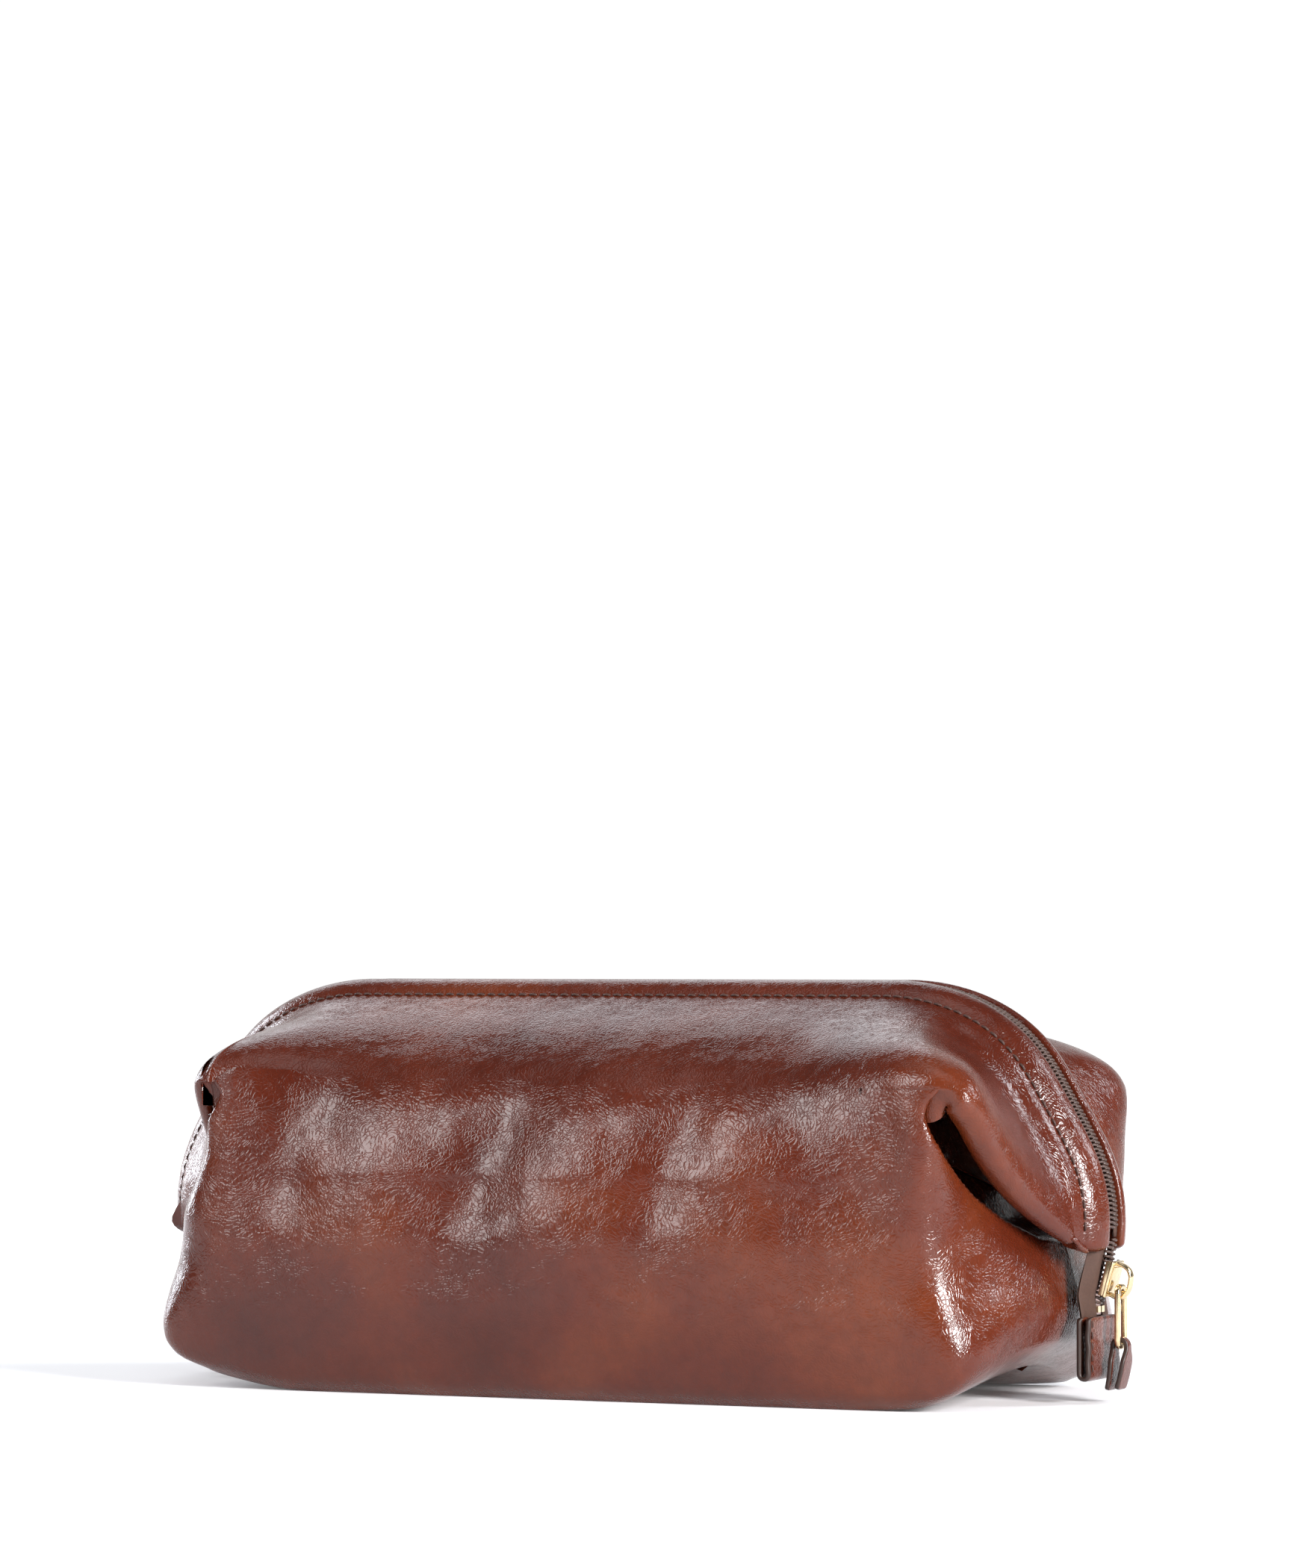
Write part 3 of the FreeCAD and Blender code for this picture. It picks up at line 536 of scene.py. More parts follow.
def make_gusset(end, name):
    """The folded leather inside one end, which hangs behind the flaps."""
    grid = np.array([gusset_row(end, t) for t in np.linspace(0, 1, 40)])
    normals = normals_of(grid)
    inwards = normals[20, 15, 0] * end < 0
    if inwards:
        normals = -normals
    obj = leather_sheet(name + "_gusset_leather", grid, normals, 0.9, LEATHER_MAT, flip=inwards)
    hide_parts(name + "_gusset")
    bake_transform(obj)


# ---- the upper leather and hem -------------------------------------------------------------------
# Where the right half's columns start beyond the frame's straight top. EARS, along the box's fold: length,
# angle of the column's upper end on the frame, whether its lower end hangs as a skirt (0) or is a rolled
# edge (1), radius of that roll.
EARS = ((86.0, 90, 0.0, 1.0), (99.0, 84, 0.0, 1.0), (111.0, 78, 0.0, 1.5), (120.0, 73.5, 0.1, 2.5))
# FLAP, along the flap's free edge: length, distance from the middle, height, and then as in EARS
FLAP = ((124.5, 66.0, 92.0, 71.5, 0.08, 2.5), (129.0, 64.8, 92.5, 68.5, 0.6, 3.6),
        (132.8, 62.2, 91.5, 65, 1.0, 5.0), (135.2, 58.3, 86.5, 59, 1.0, 5.4),
        (137.0, 52.0, 77.0, 49, 1.0, 5.2), (139.8, 43.5, 67.0, 37, 1.0, 4.8),
        (143.0, 33.0, 58.0, 23, 1.0, 4.0), (146.3, 23.5, 51.0, 8, 1.0, 3.0),
        (147.6, 17.6, 47.4, -7, 1.0, 2.2))
# cross-section of the hem: depth inside the line of the zip, distance from the middle
HEM = ((5.9, 16.2), (5.3, 14.9), (5.0, 14.2), (4.4, 13.7), (3.5, 13.1), (2.5, 12.1), (1.6, 10.9), (0.9, 9.7),
       (0.4, 8.4), (0.1, 7.2), (0.0, 6.2), (0.25, 5.4), (0.9, 4.95), (2.0, 5.0), (3.2, 5.4), (4.6, 6.2),
       (6.0, 7.2), (8.0, 7.8), (10.5, 8.0), (13.0, 8.0))
HEM_FOOT = (6.3, 17.2)  # where the shoulder meets the hem, in the same measures
HEM_CENTRE = (4.4, 9.6)  # the middle of its section, likewise
HEM_END_ANGLE = -7
SKIRT_ROWS = 10
BODY_ROWS = 26
HEM_ROW = SKIRT_ROWS + BODY_ROWS


def unit(vector):
    """The vector at length 1."""
    return vector / np.linalg.norm(vector)


def rim_point(angle, depth, y, x_flat=None):
    """A point of the frame, on the right end circle or, with a length x_flat, on the straight top."""
    if x_flat is not None:
        return np.array([x_flat, -y, TOP_Z - depth])
    turn = math.radians(angle)
    r = frame_radius(turn) - depth
    return np.array([FLAT + r * math.cos(turn), -y, ARC_Z + r * math.sin(turn)])


def frame_radius(turn):
    """Radius of the frame's end at an angle: nearly a circle, a little straighter half way down."""
    return FRAME_R - FLATTER * math.exp(-((math.degrees(turn) - 30) / 19) ** 2)


def end_stations(inset):
    """EARS and FLAP for an end that stands in by inset, filled up with rows between them."""
    stations = np.array([(x, 0.0, FOLD_Z, angle, fold, roll) for x, angle, fold, roll in EARS] + list(FLAP))
    ear, flap = stations[:len(EARS)], stations[len(EARS):]
    fuller = 1 + 0.8 * np.sin(math.pi * np.clip((74 - flap[:, 1]) / 54, 0, 1))
    ear[:, 0] -= inset * shorter(ear[:, 0])
    ear[:, 1] = profile(np.full(len(EARS), SPLIT), ear[:, 0])[:, 0]
    flap[:, 0] -= inset * np.clip((flap[:, 1] - 12) / 20, 0, 1) * fuller
    keys = np.arange(len(stations), dtype=float)
    return table(np.column_stack([keys, stations]), np.linspace(0, keys[-1], 100)[1:])


def skirt_rows(low, start, inward, fold, roll):
    """The leather under a column's lower end: a hanging skirt at the front, a rolled edge at the flap."""
    hang = np.array([0, 0.15, -0.99])
    rolled = 0.7
    points = []
    for along in np.linspace(1, 1 / SKIRT_ROWS, SKIRT_ROWS):
        skirt = low + inward * (2.2 * min(1, along * 4)) + hang * (12 * max(0, along - 0.1))
        turn = math.pi * min(1.0, along / rolled)
        curl = low + roll * (-math.sin(turn) * start + (1 - math.cos(turn)) * inward)
        curl += start * (7 * max(0.0, along - rolled) / (1 - rolled))
        points.append(lerp(skirt, curl, fold))
    return points


def shoulder_column(low, angle, fold, roll, x_flat=None):
    """One column of a shoulder, from the leather under its fold at low up over the hem to the zip."""
    high = rim_point(angle, *HEM_FOOT, x_flat)
    radial = unit(rim_point(angle, HEM_FOOT[0] + 10, HEM_FOOT[1], x_flat) - high)
    span = np.linalg.norm(high - low)
    at = abs(low[0])
    before, after = profile(np.array([SPLIT - 0.01, SPLIT + 0.01]), np.array([at, at]))
    leave = np.array([0, before[0] - after[0], after[1] - before[1]]) / 0.02 * (1 - SPLIT) / 3
    turned = unit((high - low) / span + np.array([0.30, -0.20, 0.35]))
    handle = lerp(leave, turned * span * 0.34, fold)
    on_front = radial * 0.35 + np.array([0.0, -0.94, -0.05])
    on_flap = radial * 0.8 + np.array([0.25, -0.6, 0])
    arrive = unit(lerp(on_front, on_flap, fold))
    reach = span * lerp(0.36, 0.34, fold)
    body = bezier(low, low + handle, high + arrive * reach, high, np.linspace(0, 1, BODY_ROWS))
    start = unit(handle)
    outward = lerp(np.array([0, -0.6, 0.8]), np.array([0.85, -0.5, 0.1]), fold)
    inward = -unit(outward - start * (outward @ start))
    hem = [rim_point(angle, depth, y, x_flat) for depth, y in HEM]
    return np.array([*skirt_rows(low, start, inward, fold, roll), *body, *hem])


def shoulder_half(inset):
    """The right half of the front shoulder with its hem, from the bag's middle to the hem's closed end."""
    columns = []
    for x in np.linspace(0, FLAT, 56):
        y, z = profile(np.array([SPLIT]), np.array([x]))[0]
        columns.append(shoulder_column(np.array([x - inset * shorter(x), -y, z]), 90, 0.0, 1.0, x))
    for x, y, z, angle, fold, roll in end_stations(inset):
        columns.append(shoulder_column(np.array([x, -y, z]), angle, fold, roll * (1 - 0.04 * inset)))
    centre = rim_point(HEM_END_ANGLE, *HEM_CENTRE)
    slant = math.radians(HEM_END_ANGLE)
    tip = np.array([math.sin(slant), 0, -math.cos(slant)])
    last = columns[-1]
    for turn in np.linspace(0, math.pi / 2, 6)[1:]:
        columns.append(centre + (last - centre) * math.cos(turn) + tip * (2.6 * math.sin(turn)))
    return np.array(columns)


def shoulder_grid(dents):
    """Outer side of the front shoulder with its hem: columns left to right, rows from the fold to the zip."""
    left = shoulder_half(LEFT_INSET)[:0:-1] * np.array([-1, 1, 1])
    grid = np.concatenate([left, shoulder_half(0.0)])
    near_ear = np.exp(-((np.abs(grid[:, SKIRT_ROWS, 0]) - 124) / 7) ** 2)[:, None, None]
    body = grid[:, :HEM_ROW]
    body[:] = lerp(body, soften(body, 5.0), near_ear)
    half = len(grid) / 2
    keep = smooth((np.abs(np.arange(len(grid)) - half) - half + 8) / 6)[:, None, None]
    body[:] = lerp(soften(body, 1.5), body, keep)
    fade = np.ones(grid.shape[:2])
    fade[:, HEM_ROW - 6:HEM_ROW] = np.linspace(0.9, 0, 6)
    fade[:, HEM_ROW:] = 0
    moved = dented(grid, edge_normals(grid), dents)
    grid = lerp(grid, moved, fade[..., None])
    return grid, edge_normals(grid)


def edge_normals(grid):
    """Normals of a shoulder. Along the front they ignore the skirt, so that the fold looks smooth."""
    normals = normals_of(grid)
    clear = normals_of(grid[:, SKIRT_ROWS:])[:, :1]
    rolled = smooth((np.abs(grid[:, SKIRT_ROWS:SKIRT_ROWS + 1, :1]) - 110) / 10)
    normals[:, SKIRT_ROWS:SKIRT_ROWS + 1] = lerp(clear, normals[:, SKIRT_ROWS:SKIRT_ROWS + 1], rolled)
    return normals


def make_margin(name, grid, normals, side):
    """The upper margin of the lower leather, which shows only once the shoulder turns up and away."""
    rows = slice(SKIRT_ROWS, SKIRT_ROWS + 10)
    under = (grid - normals * 2.8)[:, rows]
    under = np.concatenate([under[:, :1] - np.array([0, 0, 7.0]), under], 1)
    turned = np.concatenate([normals[:, :1], normals[:, rows]], 1)
    turned[:, 0] = np.array([0, side, 0])
    cols = np.where(np.abs(grid[:, SKIRT_ROWS, 0]) < 114)[0]
    margin = leather_sheet(name + "_panel_margin", under[cols], turned[cols], 0.6, LEATHER_MAT, flip=side > 0)
    declare(margin, "bag_body", "leather")


def make_upper(side):
    """The leather and lining of one shoulder, which turn with their half of the frame."""
    grid, normals = shoulder_grid(FRONT_DENTS if side < 0 else BACK_DENTS)
    if side > 0:
        grid, normals = mirror_y(grid), mirror_y(normals)
    name = half_name(side)
    back = side > 0
    skin = leather_sheet(name + "_shoulder_leather", grid, normals, SHOULDER_LEATHER, LEATHER_MAT, back)
    declare(skin, name + "_frame", "leather", name + "_shoulder", name + "_hem")
    cols, rows = slice(8, -8), slice(SKIRT_ROWS + 2, HEM_ROW - 1)
    inside = (grid - normals * (SHOULDER_LEATHER + 0.7))[cols, rows]
    cloth = leather_sheet(name + "_shoulder_cloth", inside, normals[cols, rows], CLOTH, LINING_MAT, back)
    declare(cloth, name + "_frame", "lining_fabric", name + "_shoulder_lining")
    make_margin(name, grid, normals, side)


# ---- the line of the zip -------------------------------------------------------------------------
BEND_Z = 30.4  # where the zip leaves the end circle and hangs straight down
BEND_ANGLE = math.asin((BEND_Z - ARC_Z) / FRAME_R)
ARC_END = FLAT + FRAME_R * (math.pi / 2 - BEND_ANGLE)
HEM_END = FLAT + FRAME_R * math.radians(95.6)
TOOTH_PITCH = 1.4
# cross-sections in the front half as (depth inside the line of the zip, distance from the middle)
TAPE_SECTION = ((1.8, 2.3), (1.75, 3.6), (1.9, 4.9), (3.0, 5.9), (9.0, 9.5), (9.2, 9.1), (3.4, 5.5),
                (2.3, 4.8), (2.3, 2.3))
BAR_SECTION = ((2.6, 6.9), (5.4, 12.4), (6.1, 12.0), (3.3, 6.5))
# one loop of the coil, as (distance from the middle, depth)
TOOTH = ((2.9, 2.6), (3.1, 1.8), (2.5, 1.1), (1.2, 0.9), (-0.25, 1.05), (-0.5, 1.7))


def on_zip(s, depth=0.0, y=0.0):
    """A point at a length s along the zip from the top's middle, at a depth inside its line."""
    sign, run = (1 if s >= 0 else -1), abs(s)
    if run <= FLAT:
        return np.array([s, y, TOP_Z - depth])
    angle = math.pi / 2 - (min(run, ARC_END) - FLAT) / FRAME_R
    if run <= ARC_END:
        r = frame_radius(angle) - depth
        return np.array([sign * (FLAT + r * math.cos(angle)), y, ARC_Z + r * math.sin(angle)])
    x = FLAT + FRAME_R * math.cos(angle) - depth * 0.95
    return np.array([sign * x, y, BEND_Z + depth * 0.33 - (run - ARC_END)])


def zip_frame(s):
    """Unit vectors along the zip (growing s) and out of the bag."""
    along = on_zip(s + 0.05) - on_zip(s - 0.05)
    along /= np.linalg.norm(along)
    out = on_zip(s, -0.5) - on_zip(s, 0.5)
    return along, out / np.linalg.norm(out)


def tube_faces(count, sides):
    """Faces of a tube of count rings with as many points as sides, closed at both ends."""
    faces = []
    for i in range(count - 1):
        for k in range(sides):
            a, b = i * sides + k, i * sides + (k + 1) % sides
            faces.append((a, b, b + sides, a + sides))
    return faces + [tuple(range(sides))[::-1], tuple(range((count - 1) * sides, count * sides))]


def sweep(name, section, side, stations, material):
    """A closed band with a section of (depth, y), carried along one side of the zip."""
    grid = np.array([[on_zip(s, depth, side * y) for depth, y in section] for s in stations])
    return make_mesh(name, grid.reshape(-1, 3), tube_faces(len(stations), len(section)), material)


def tube(path, radius, sides=6):
    """Points and faces of a round tube along a list of points, narrower at both ends."""
    path = np.array(path, float)
    tangent = np.gradient(path, axis=0)
    tangent /= np.linalg.norm(tangent, axis=1, keepdims=True)
    up = np.array([0.31, 0.17, 0.94])
    points = []
    radii = [radius * 0.45] + [radius] * (len(path) - 2) + [radius * 0.45]
    for p, t, r in zip(path, tangent, radii):
        a = np.cross(t, up)
        a /= np.linalg.norm(a)
        b = np.cross(t, a)
        for k in range(sides):
            turn = 2 * math.pi * k / sides
            points.append(p + r * (math.cos(turn) * a + math.sin(turn) * b))
    return np.array(points), tube_faces(len(path), sides)


def gather(name, parts, material):
    """One mesh of many (points, faces) parts."""
    points, faces, base = [], [], 0
    for p, f in parts:
        points.append(p)
        faces += [tuple(i + base for i in face) for face in f]
        base += len(p)
    return make_mesh(name, np.concatenate(points), faces, material)


def coil_teeth(name, side, start, end):
    """Loops of one half of the coil, which reach a little over the middle between those of the other."""
    teeth = []
    for k in range(int((end - start) / TOOTH_PITCH)):
        s = start + (k + (0.25 if side > 0 else 0.75)) * TOOTH_PITCH
        path = [on_zip(s + side * 0.10 * (y - 1.3), depth, side * y) for y, depth in TOOTH]
        teeth.append(tube(path, 0.46))
    return gather(name, teeth, COIL_MAT)


def stitch(point, along, out, length=2.5, radius=0.40):
    """A short thread lying along a seam, dipping into it at both ends."""
    path = []
    for t in (0.0, 0.12, 0.5, 0.88, 1.0):
        height = radius * (1.1 * math.sin(math.pi * t) - 0.5)
        path.append(point + along * (length * (t - 0.5)) + out * height)
    return tube(path, radius, 7)


def make_hem_stitches(side):
    """The row of stitches along the hem of one half."""
    stitches = []
    count = int((2 * HEM_END - 6) / STITCH_PITCH)
    for k in range(count + 1):
        s = (k - count / 2) * STITCH_PITCH
        along, out = zip_frame(s)
        outward = out * 0.85 + np.array([0, side * 0.53, 0])
        stitches.append(stitch(on_zip(s, STITCH_DEPTH - 0.2, side * STITCH_Y), along, outward))
    name = half_name(side)
    declare(gather(name + "_hem_stitches", stitches, THREAD_MAT), name + "_frame", "leather")


def make_zip_half(side):
    """The tape, the coil and the sprung steel bar in the hem of one half."""
    name = half_name(side)
    stations = np.linspace(-HEM_END, HEM_END, 260)
    tape = sweep(name + "_tape_weave", TAPE_SECTION, side, stations, TAPE_MAT)
    declare(tape, name + "_frame", "zip_tape", name + "_zip_tape")
    coil = coil_teeth(name + "_coil_teeth", side, TOOTH_PITCH - HEM_END, HEM_END - TOOTH_PITCH)
    declare(coil, name + "_frame", "zip_coil", name + "_zip_coil")
    bar = sweep(name + "_spring_bar", BAR_SECTION, side, stations[4:-4], STEEL_MAT)
    declare(bar, name + "_frame", "spring_steel", name + "_frame_bar")


def tail_half(end, side):
    """Points and faces of one tape beyond the frame, whose free edge curls back."""
    rows, cols = 26, 9
    grid = np.zeros((rows, cols, 3))
    for i, t in enumerate(np.linspace(0, 1, rows)):
        s = lerp(HEM_END + 2.0, ARC_END + 10, t)
        width = lerp(6.0, 8.6, smooth(t * 1.6))
        for j, across in enumerate(np.linspace(0, 1, cols)):
            curl = 3.6 * across ** 2 * (1 - 0.7 * t) + 0.5 * math.sin(6 * across + 5 * t)
            grid[i, j] = on_zip(end * s, 1.9 + curl, side * (2.3 + width * across))
    inner = grid - normals_of(grid) * (side * end * 0.5)
    faces = grid_faces(rows, cols, 0, side * end < 0) + grid_faces(rows, cols, rows * cols, side * end > 0)
    return np.concatenate([grid.reshape(-1, 3), inner.reshape(-1, 3)]), faces


def make_tail(end, name):
    """The zip beyond the frame at one end: both tapes and the last teeth."""
    tape = gather(name + "_tail_weave", [tail_half(end, -1), tail_half(end, 1)], TAPE_MAT)
    declare(tape, "frame_pivot", "zip_tape", name + "_tail_tape")
    span = sorted((end * (HEM_END + 0.5), end * (ARC_END + 2.2)))
    for side, nodes in ((-1, [name + "_tail_coil"]), (1, [])):
        coil = coil_teeth(f"{name}_tail_teeth_{half_name(side)}", side, *span)
        declare(coil, "frame_pivot", "zip_coil", *nodes)


# ---- straps --------------------------------------------------------------------------------------
def strip_section(width, thickness):
    """Outline of a strip with bevelled corners, as (across, out) from its middle, in two like halves of 7."""
    w, h = width / 2, thickness / 2
    bevel = h * 0.45
    half = [(-w + bevel, h), (-w / 2, h), (0, h), (w / 2, h), (w - bevel, h), (w, h - bevel), (w, bevel - h)]
    return half + [(-y, -n) for y, n in half]


def ribbon(name, path, widths, thickness):
    """A leather strip with painted edges along a path of (x, z), which is the middle of its thickness."""
    path = np.array(path, float)
    tangent = np.gradient(path, axis=0)
    tangent /= np.linalg.norm(tangent, axis=1, keepdims=True)
    points = []
    for (x, z), (tx, tz), width in zip(path, tangent, widths):
        points += [(x - tz * out, y, z + tx * out) for y, out in strip_section(width, thickness)]
    rows = 14
    faces = [face[::-1] for face in tube_faces(len(path), rows)]
    obj = make_mesh(name, points, faces, LEATHER_MAT)
    obj.data.materials.append(EDGE_MAT)
    sides = (len(path) - 1) * rows
    for k, face in enumerate(obj.data.polygons):
        on_edge = k >= sides or k % 7 >= 4
        face.material_index = 1 if on_edge else 0
    rounded = obj.modifiers.new("soft", "SUBSURF")
    rounded.levels = rounded.render_levels = 1
    return obj


def make_end_tab(end, name):
    """The leather tab folded up from below over the ends of both tapes."""
    half, low, high, width = 1.35, 9.6, 25.4, 25.0
    x = on_zip(ARC_END + 5, 2.05)[0]
    outer = [(x + half + 0.15 * math.sin(k), z) for k, z in enumerate(np.linspace(high, low, 14))]
    fold = [(x + half * math.cos(a), low - 0.7 + 1.5 * math.sin(a)) for a in np.linspace(0, -math.pi, 9)]
    inner = [(x - half, z) for z in np.linspace(low, high, 14)]
    path = [(end * px, pz) for px, pz in outer + fold + inner]
    tab = ribbon(name + "_end_tab_leather", path, [width] * len(path), 1.7)
    declare(tab, "frame_pivot", "leather", name + "_end_tab")
    up, out = np.array([0, 0, 1.0]), np.array([end, 0, 0])
    threads = []
    for y in (-10.6, 10.6):
        for k in range(5):
            point = np.array([end * (x + 2.25), y, 10.5 + 3.2 * k])
            threads.append(stitch(point, up, out, 2.2, 0.3))
    declare(gather(name + "_end_tab_stitches", threads, THREAD_MAT), "frame_pivot", "leather")


# ---- slider, link and thong ----------------------------------------------------------------------
SLIDER_Z = 36.2
SLIDER_S = FLAT + FRAME_R * (math.pi / 2 - math.asin((SLIDER_Z - ARC_Z) / FRAME_R))
# the axes on which the link and the thong swing, along y, as in the solid model
LINK = np.array([152.023, 0.0, 33.707]) - CENTRE
THONG = np.array([152.023, 0.0, 16.507]) - CENTRE
# the slider's bridge from the side: along the zip, out from it
BRIDGE = ((-4.6, 1.3), (-4.9, 3.0), (-4.6, 4.7), (-3.4, 5.9), (-1.6, 6.4), (0.5, 6.4), (2.4, 6.0),
          (3.8, 5.0), (4.5, 3.6), (4.7, 2.4), (4.7, 1.3))
# the slider's plates: size along, across and out, radius of the edges, and where: along, across, out
PLATES = (((10.8, 9.6, 1.1), 0.45, (0, 0, 0.95)), ((7.2, 7.4, 0.5), 0.2, (0.2, 0, 1.55)),
          ((10.4, 0.9, 1.9), 0.35, (0, 4.3, 0.1)), ((10.4, 0.9, 1.9), 0.35, (0, -4.3, 0.1)),
          ((10.4, 6.6, 1.1), 0.4, (0, 0, -4.3)))


def soft_block(size, radius):
    """Points and faces of a box with rounded edges, centred on the origin."""
    bm = bmesh.new()
    bmesh.ops.create_cube(bm, size=1.0)
    bmesh.ops.scale(bm, vec=size, verts=bm.verts)
    bmesh.ops.bevel(bm, geom=bm.edges[:], offset=radius, segments=3, profile=0.5, affect="EDGES")
    points = np.array([tuple(v.co) for v in bm.verts])
    bm.verts.index_update()
    faces = [tuple(v.index for v in f.verts) for f in bm.faces]
    bm.free()
    return points, faces


def loop_tube(path, half_a, half_b, axis, closed):
    """A bar of rounded rectangular section along a flat path. axis is the direction across its plane."""
    path = np.array(path, float)
    tangent = np.roll(path, -1, 0) - np.roll(path, 1, 0) if closed else np.gradient(path, axis=0)
    tangent /= np.linalg.norm(tangent, axis=1, keepdims=True)
    sides, square = 12, 0.6
    points = []
    for p, t in zip(path, tangent):
        out = np.cross(axis, t)
        for k in range(sides):
            turn = 2 * math.pi * (k + 0.5) / sides
            a, b = math.cos(turn), math.sin(turn)
            a, b = math.copysign(abs(a) ** square, a), math.copysign(abs(b) ** square, b)
            points.append(p + axis * half_a * a + out * half_b * b)
    faces = tube_faces(len(path), sides)
    if closed:
        last = (len(path) - 1) * sides
        faces = faces[:-2] + [(last + k, last + (k + 1) % sides, (k + 1) % sides, k) for k in range(sides)]
    return np.array(points), faces


def make_slider():
    """The brass slider, whose plates hold both coils, and the bridge that carries the link."""
    along, out = zip_frame(SLIDER_S)
    across = np.array([0, 1.0, 0])
    axes = np.stack([-along, across, out])
    base = on_zip(SLIDER_S)

    def put(part, place=(0, 0, 0)):
        points, faces = part
        return (points + np.array(place)) @ axes + base, faces

    blocks = [put(soft_block(size, edge), place) for size, edge, place in PLATES]
    plates = gather("slider_plates", blocks, BRASS_MAT)
    declare(plates, "zip_slider", "brass", "slider_body")
    fine = table(np.column_stack([np.arange(len(BRIDGE)), BRIDGE]), np.linspace(0, len(BRIDGE) - 1, 41))
    path = [(t, 0, n) for t, n in fine]
    bridge = gather("slider_bridge", [put(loop_tube(path, 1.5, 0.6, across, False))], BRASS_MAT)
    declare(bridge, "zip_slider", "brass", "slider_crown")


def make_link():
    """The long brass ring between the slider and the thong."""
    half, low, corner = 2.7, -17.2, 2.0
    path = []
    for y, z, start in ((half - corner, -corner, 0), (corner - half, -corner, 90),
                        (corner - half, low + corner, 180), (half - corner, low + corner, 270)):
        for k in range(8):
            turn = math.radians(start + 90 * k / 7)
            path.append(LINK + np.array([0, y + corner * math.cos(turn), z + corner * math.sin(turn)]))
    ring = gather("pull_ring_metal", [loop_tube(path, 0.85, 0.85, np.array([1.0, 0, 0]), True)], BRASS_MAT)
    declare(ring, "zip_link", "brass", "pull_link")


def make_thong():
    """A leather strip passed through the ring and folded on itself, wide below and narrow in the ring."""
    eye, steps = 2.1, 9
    front = np.column_stack([np.linspace(1.5, eye, steps), np.linspace(-12.6, -1.0, steps)])
    loop = [(eye * math.cos(a), eye * math.sin(a)) for a in np.linspace(0, math.pi, 13)]
    back = np.column_stack([np.linspace(-eye, -1.3, steps), np.linspace(-1.0, -12.9, steps)])
    path = np.concatenate([front, loop, back])
    path[:, 0] -= 0.012 * np.clip(-path[:, 1], 0, None) ** 2
    widths = lerp(3.3, 7.6, smooth((-path[:, 1] - 1.2) / 2.4))
    strap = ribbon("pull_thong_leather", path + THONG[[0, 2]], widths, 1.5)
    declare(strap, "zip_thong", "leather", "pull_thong")


# ---- stage ---------------------------------------------------------------------------------------
VIEW_AZIMUTH = math.radians(25.0)  # the bag is seen from its front, this far round to its right
COOL = (0.88, 0.93, 1.0)


def add_area(name, location, target, size, power, color=(1, 1, 1)):
    """A rectangular lamp of a power in watts, aimed at a point."""
    light = bpy.data.lights.new(name, "AREA")
    light.shape = "RECTANGLE"
    light.size, light.size_y = size
    light.energy = power
    light.color = color
    obj = bpy.data.objects.new(name, light)
    bpy.context.scene.collection.objects.link(obj)
    obj.location = location
    obj.rotation_euler = (Vector(target) - Vector(location)).to_track_quat("-Z", "Y").to_euler()


def make_world():
    """A backdrop that is bright behind the bag and darker before it, so that the leather keeps its colour."""
    world = bpy.data.worlds.new("Studio")
    bpy.context.scene.world = world
    world.use_nodes = True
    tree = world.node_tree
    where = tree.nodes.new("ShaderNodeTexCoord")
    dot = tree.nodes.new("ShaderNodeVectorMath")
    dot.operation = "DOT_PRODUCT"
    dot.inputs[1].default_value = (-math.sin(VIEW_AZIMUTH), math.cos(VIEW_AZIMUTH), 0.0)
    ramp = tree.nodes.new("ShaderNodeMapRange")
    ramp.interpolation_type = "SMOOTHSTEP"
    for key, value in (("From Min", 0.55), ("From Max", 0.95), ("To Min", 0.12), ("To Max", 1.02)):
        ramp.inputs[key].default_value = value
    tree.links.new(where.outputs["Generated"], dot.inputs[0])
    tree.links.new(dot.outputs["Value"], ramp.inputs["Value"])
    tree.links.new(ramp.outputs["Result"], tree.nodes["Background"].inputs["Strength"])
    tree.nodes["Background"].inputs["Color"].default_value = (1, 1, 1, 1)


def make_floor():
    """A white table whose own glow rises towards the back, so that it runs into the backdrop."""
    floor = Nodes("Floor")
    floor.set(Base_Color=(0.93, 0.93, 0.95, 1), Roughness=0.85, Specular_IOR_Level=0.1,
              Emission_Color=(1, 1, 1, 1))
    where = floor.add("ShaderNodeNewGeometry")
    behind = floor.add("ShaderNodeSeparateXYZ")
    floor.link(where, "Position", behind, "Vector")
    glow = floor.add("ShaderNodeMapRange", interpolation_type="SMOOTHSTEP")
    for key, value in (("From Min", 0.1), ("From Max", 1.2), ("To Min", 0.06), ("To Max", 0.86)):
        glow.inputs[key].default_value = value
    floor.link(behind, "Y", glow, "Value")
    floor.link(glow, "Result", floor.shader, "Emission Strength")
    far = 30000
    corners = [(-far, -far, 0), (far, -far, 0), (far, far, 0), (-far, far, 0)]
    make_mesh("studio_floor", corners, [(0, 1, 2, 3)], floor.material)


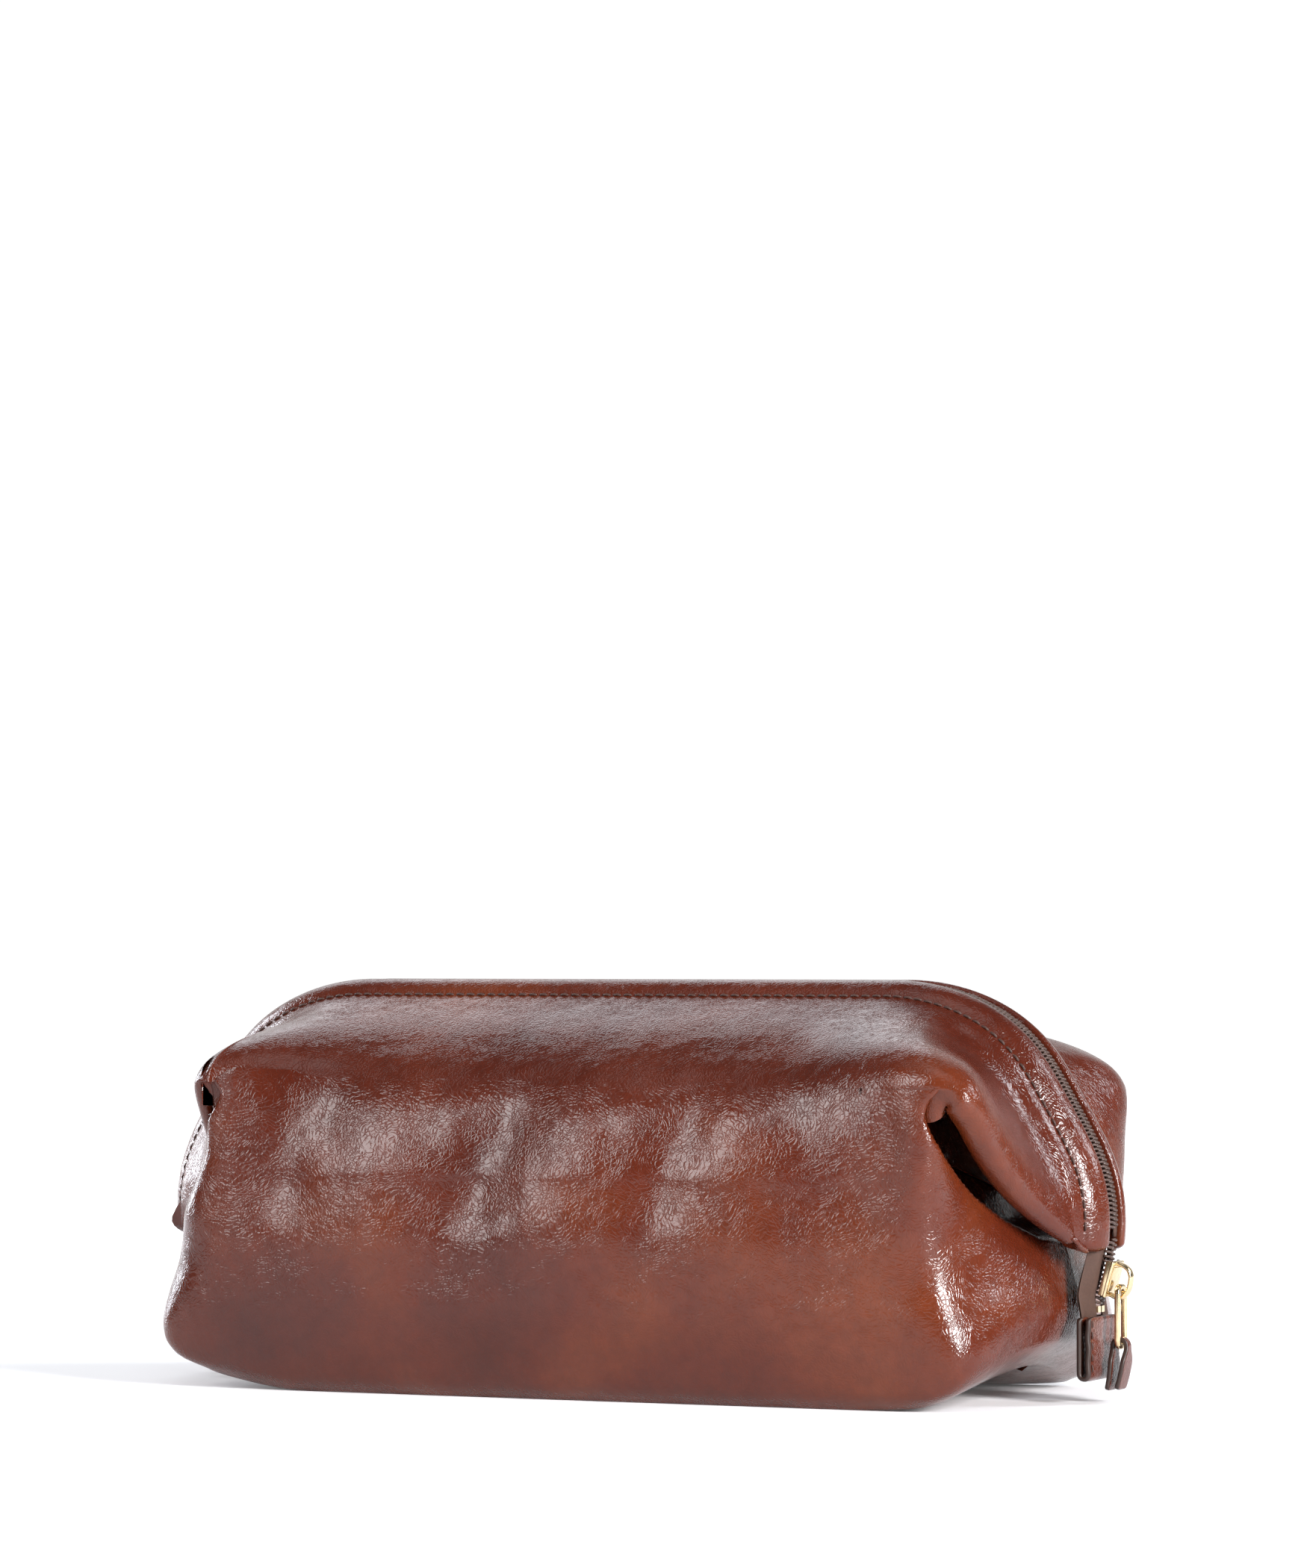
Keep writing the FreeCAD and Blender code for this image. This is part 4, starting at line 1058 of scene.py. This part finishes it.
def make_lights():
    """A softbox at the left, a strong lamp on the right end, weak cool rims from behind and a weak top."""
    add_area("softbox", (-1.14, -1.66, 1.00), (0, 0, 0.07), (0.66, 1.44), 33)
    add_area("back_left", (-1.0, 1.5, 1.4), (-0.03, 0, 0.10), (1.2, 0.8), 5, COOL)
    add_area("rim_left", (-1.6, 0.5, 0.6), (-0.05, 0, 0.08), (0.4, 1.0), 18, COOL)
    add_area("rim_right", (1.5, 0.9, 1.1), (0.1, 0, 0.07), (0.4, 0.9), 18, (0.9, 0.95, 1.0))
    add_area("side", (2.1, -1.0, 0.80), (0.12, 0, 0.06), (0.6, 0.9), 112)
    add_area("top", (0, -0.5, 2.2), (0, 0, 0.0), (1.6, 1.2), 8)


def make_camera():
    """A long lens a little above the bag's top, aimed slightly up and to the right."""
    distance, height = 1.8, 0.132
    aim_right, aim_up = 0.00275, 0.0274
    right = Vector((math.cos(VIEW_AZIMUTH), math.sin(VIEW_AZIMUTH), 0))
    ahead = Vector((-math.sin(VIEW_AZIMUTH), math.cos(VIEW_AZIMUTH), 0))
    data = bpy.data.cameras.new("Camera")
    data.sensor_fit = "VERTICAL"
    data.sensor_height = 36.0
    data.lens = 137.1
    data.clip_start = 0.05
    data.clip_end = 30
    camera = bpy.data.objects.new("Camera", data)
    bpy.context.scene.collection.objects.link(camera)
    camera.location = -ahead * distance + Vector((CENTRE[0] / 1000, 0, height))
    look = ahead + right * aim_right + Vector((0, 0, aim_up))
    camera.rotation_euler = look.to_track_quat("-Z", "Y").to_euler()
    bpy.context.scene.camera = camera


def paint_solids():
    """Gives the pieces of the solid model the material of their slot, for those that are left showing."""
    slots = {part["node"]: part["material_slot"] for part in frame["record"]["subparts"]}
    for node, obj in frame["nodes"].items():
        obj.data.materials.clear()
        obj.data.materials.append(SLOT_MATERIALS[slots[node]])


make_camera()
make_floor()
make_world()
make_lights()
for side in (-1, 1):
    lower_edge = make_lower(side)
    if side < 0:
        make_base(lower_edge)
    make_upper(side)
    make_hem_stitches(side)
    make_zip_half(side)
for end, end_name in ((1, "right"), (-1, "left")):
    make_gusset(end, end_name)
    make_tail(end, end_name)
    make_end_tab(end, end_name)
make_slider()
make_link()
make_thong()
paint_solids()
bpy.context.scene.view_settings.view_transform = "Standard"
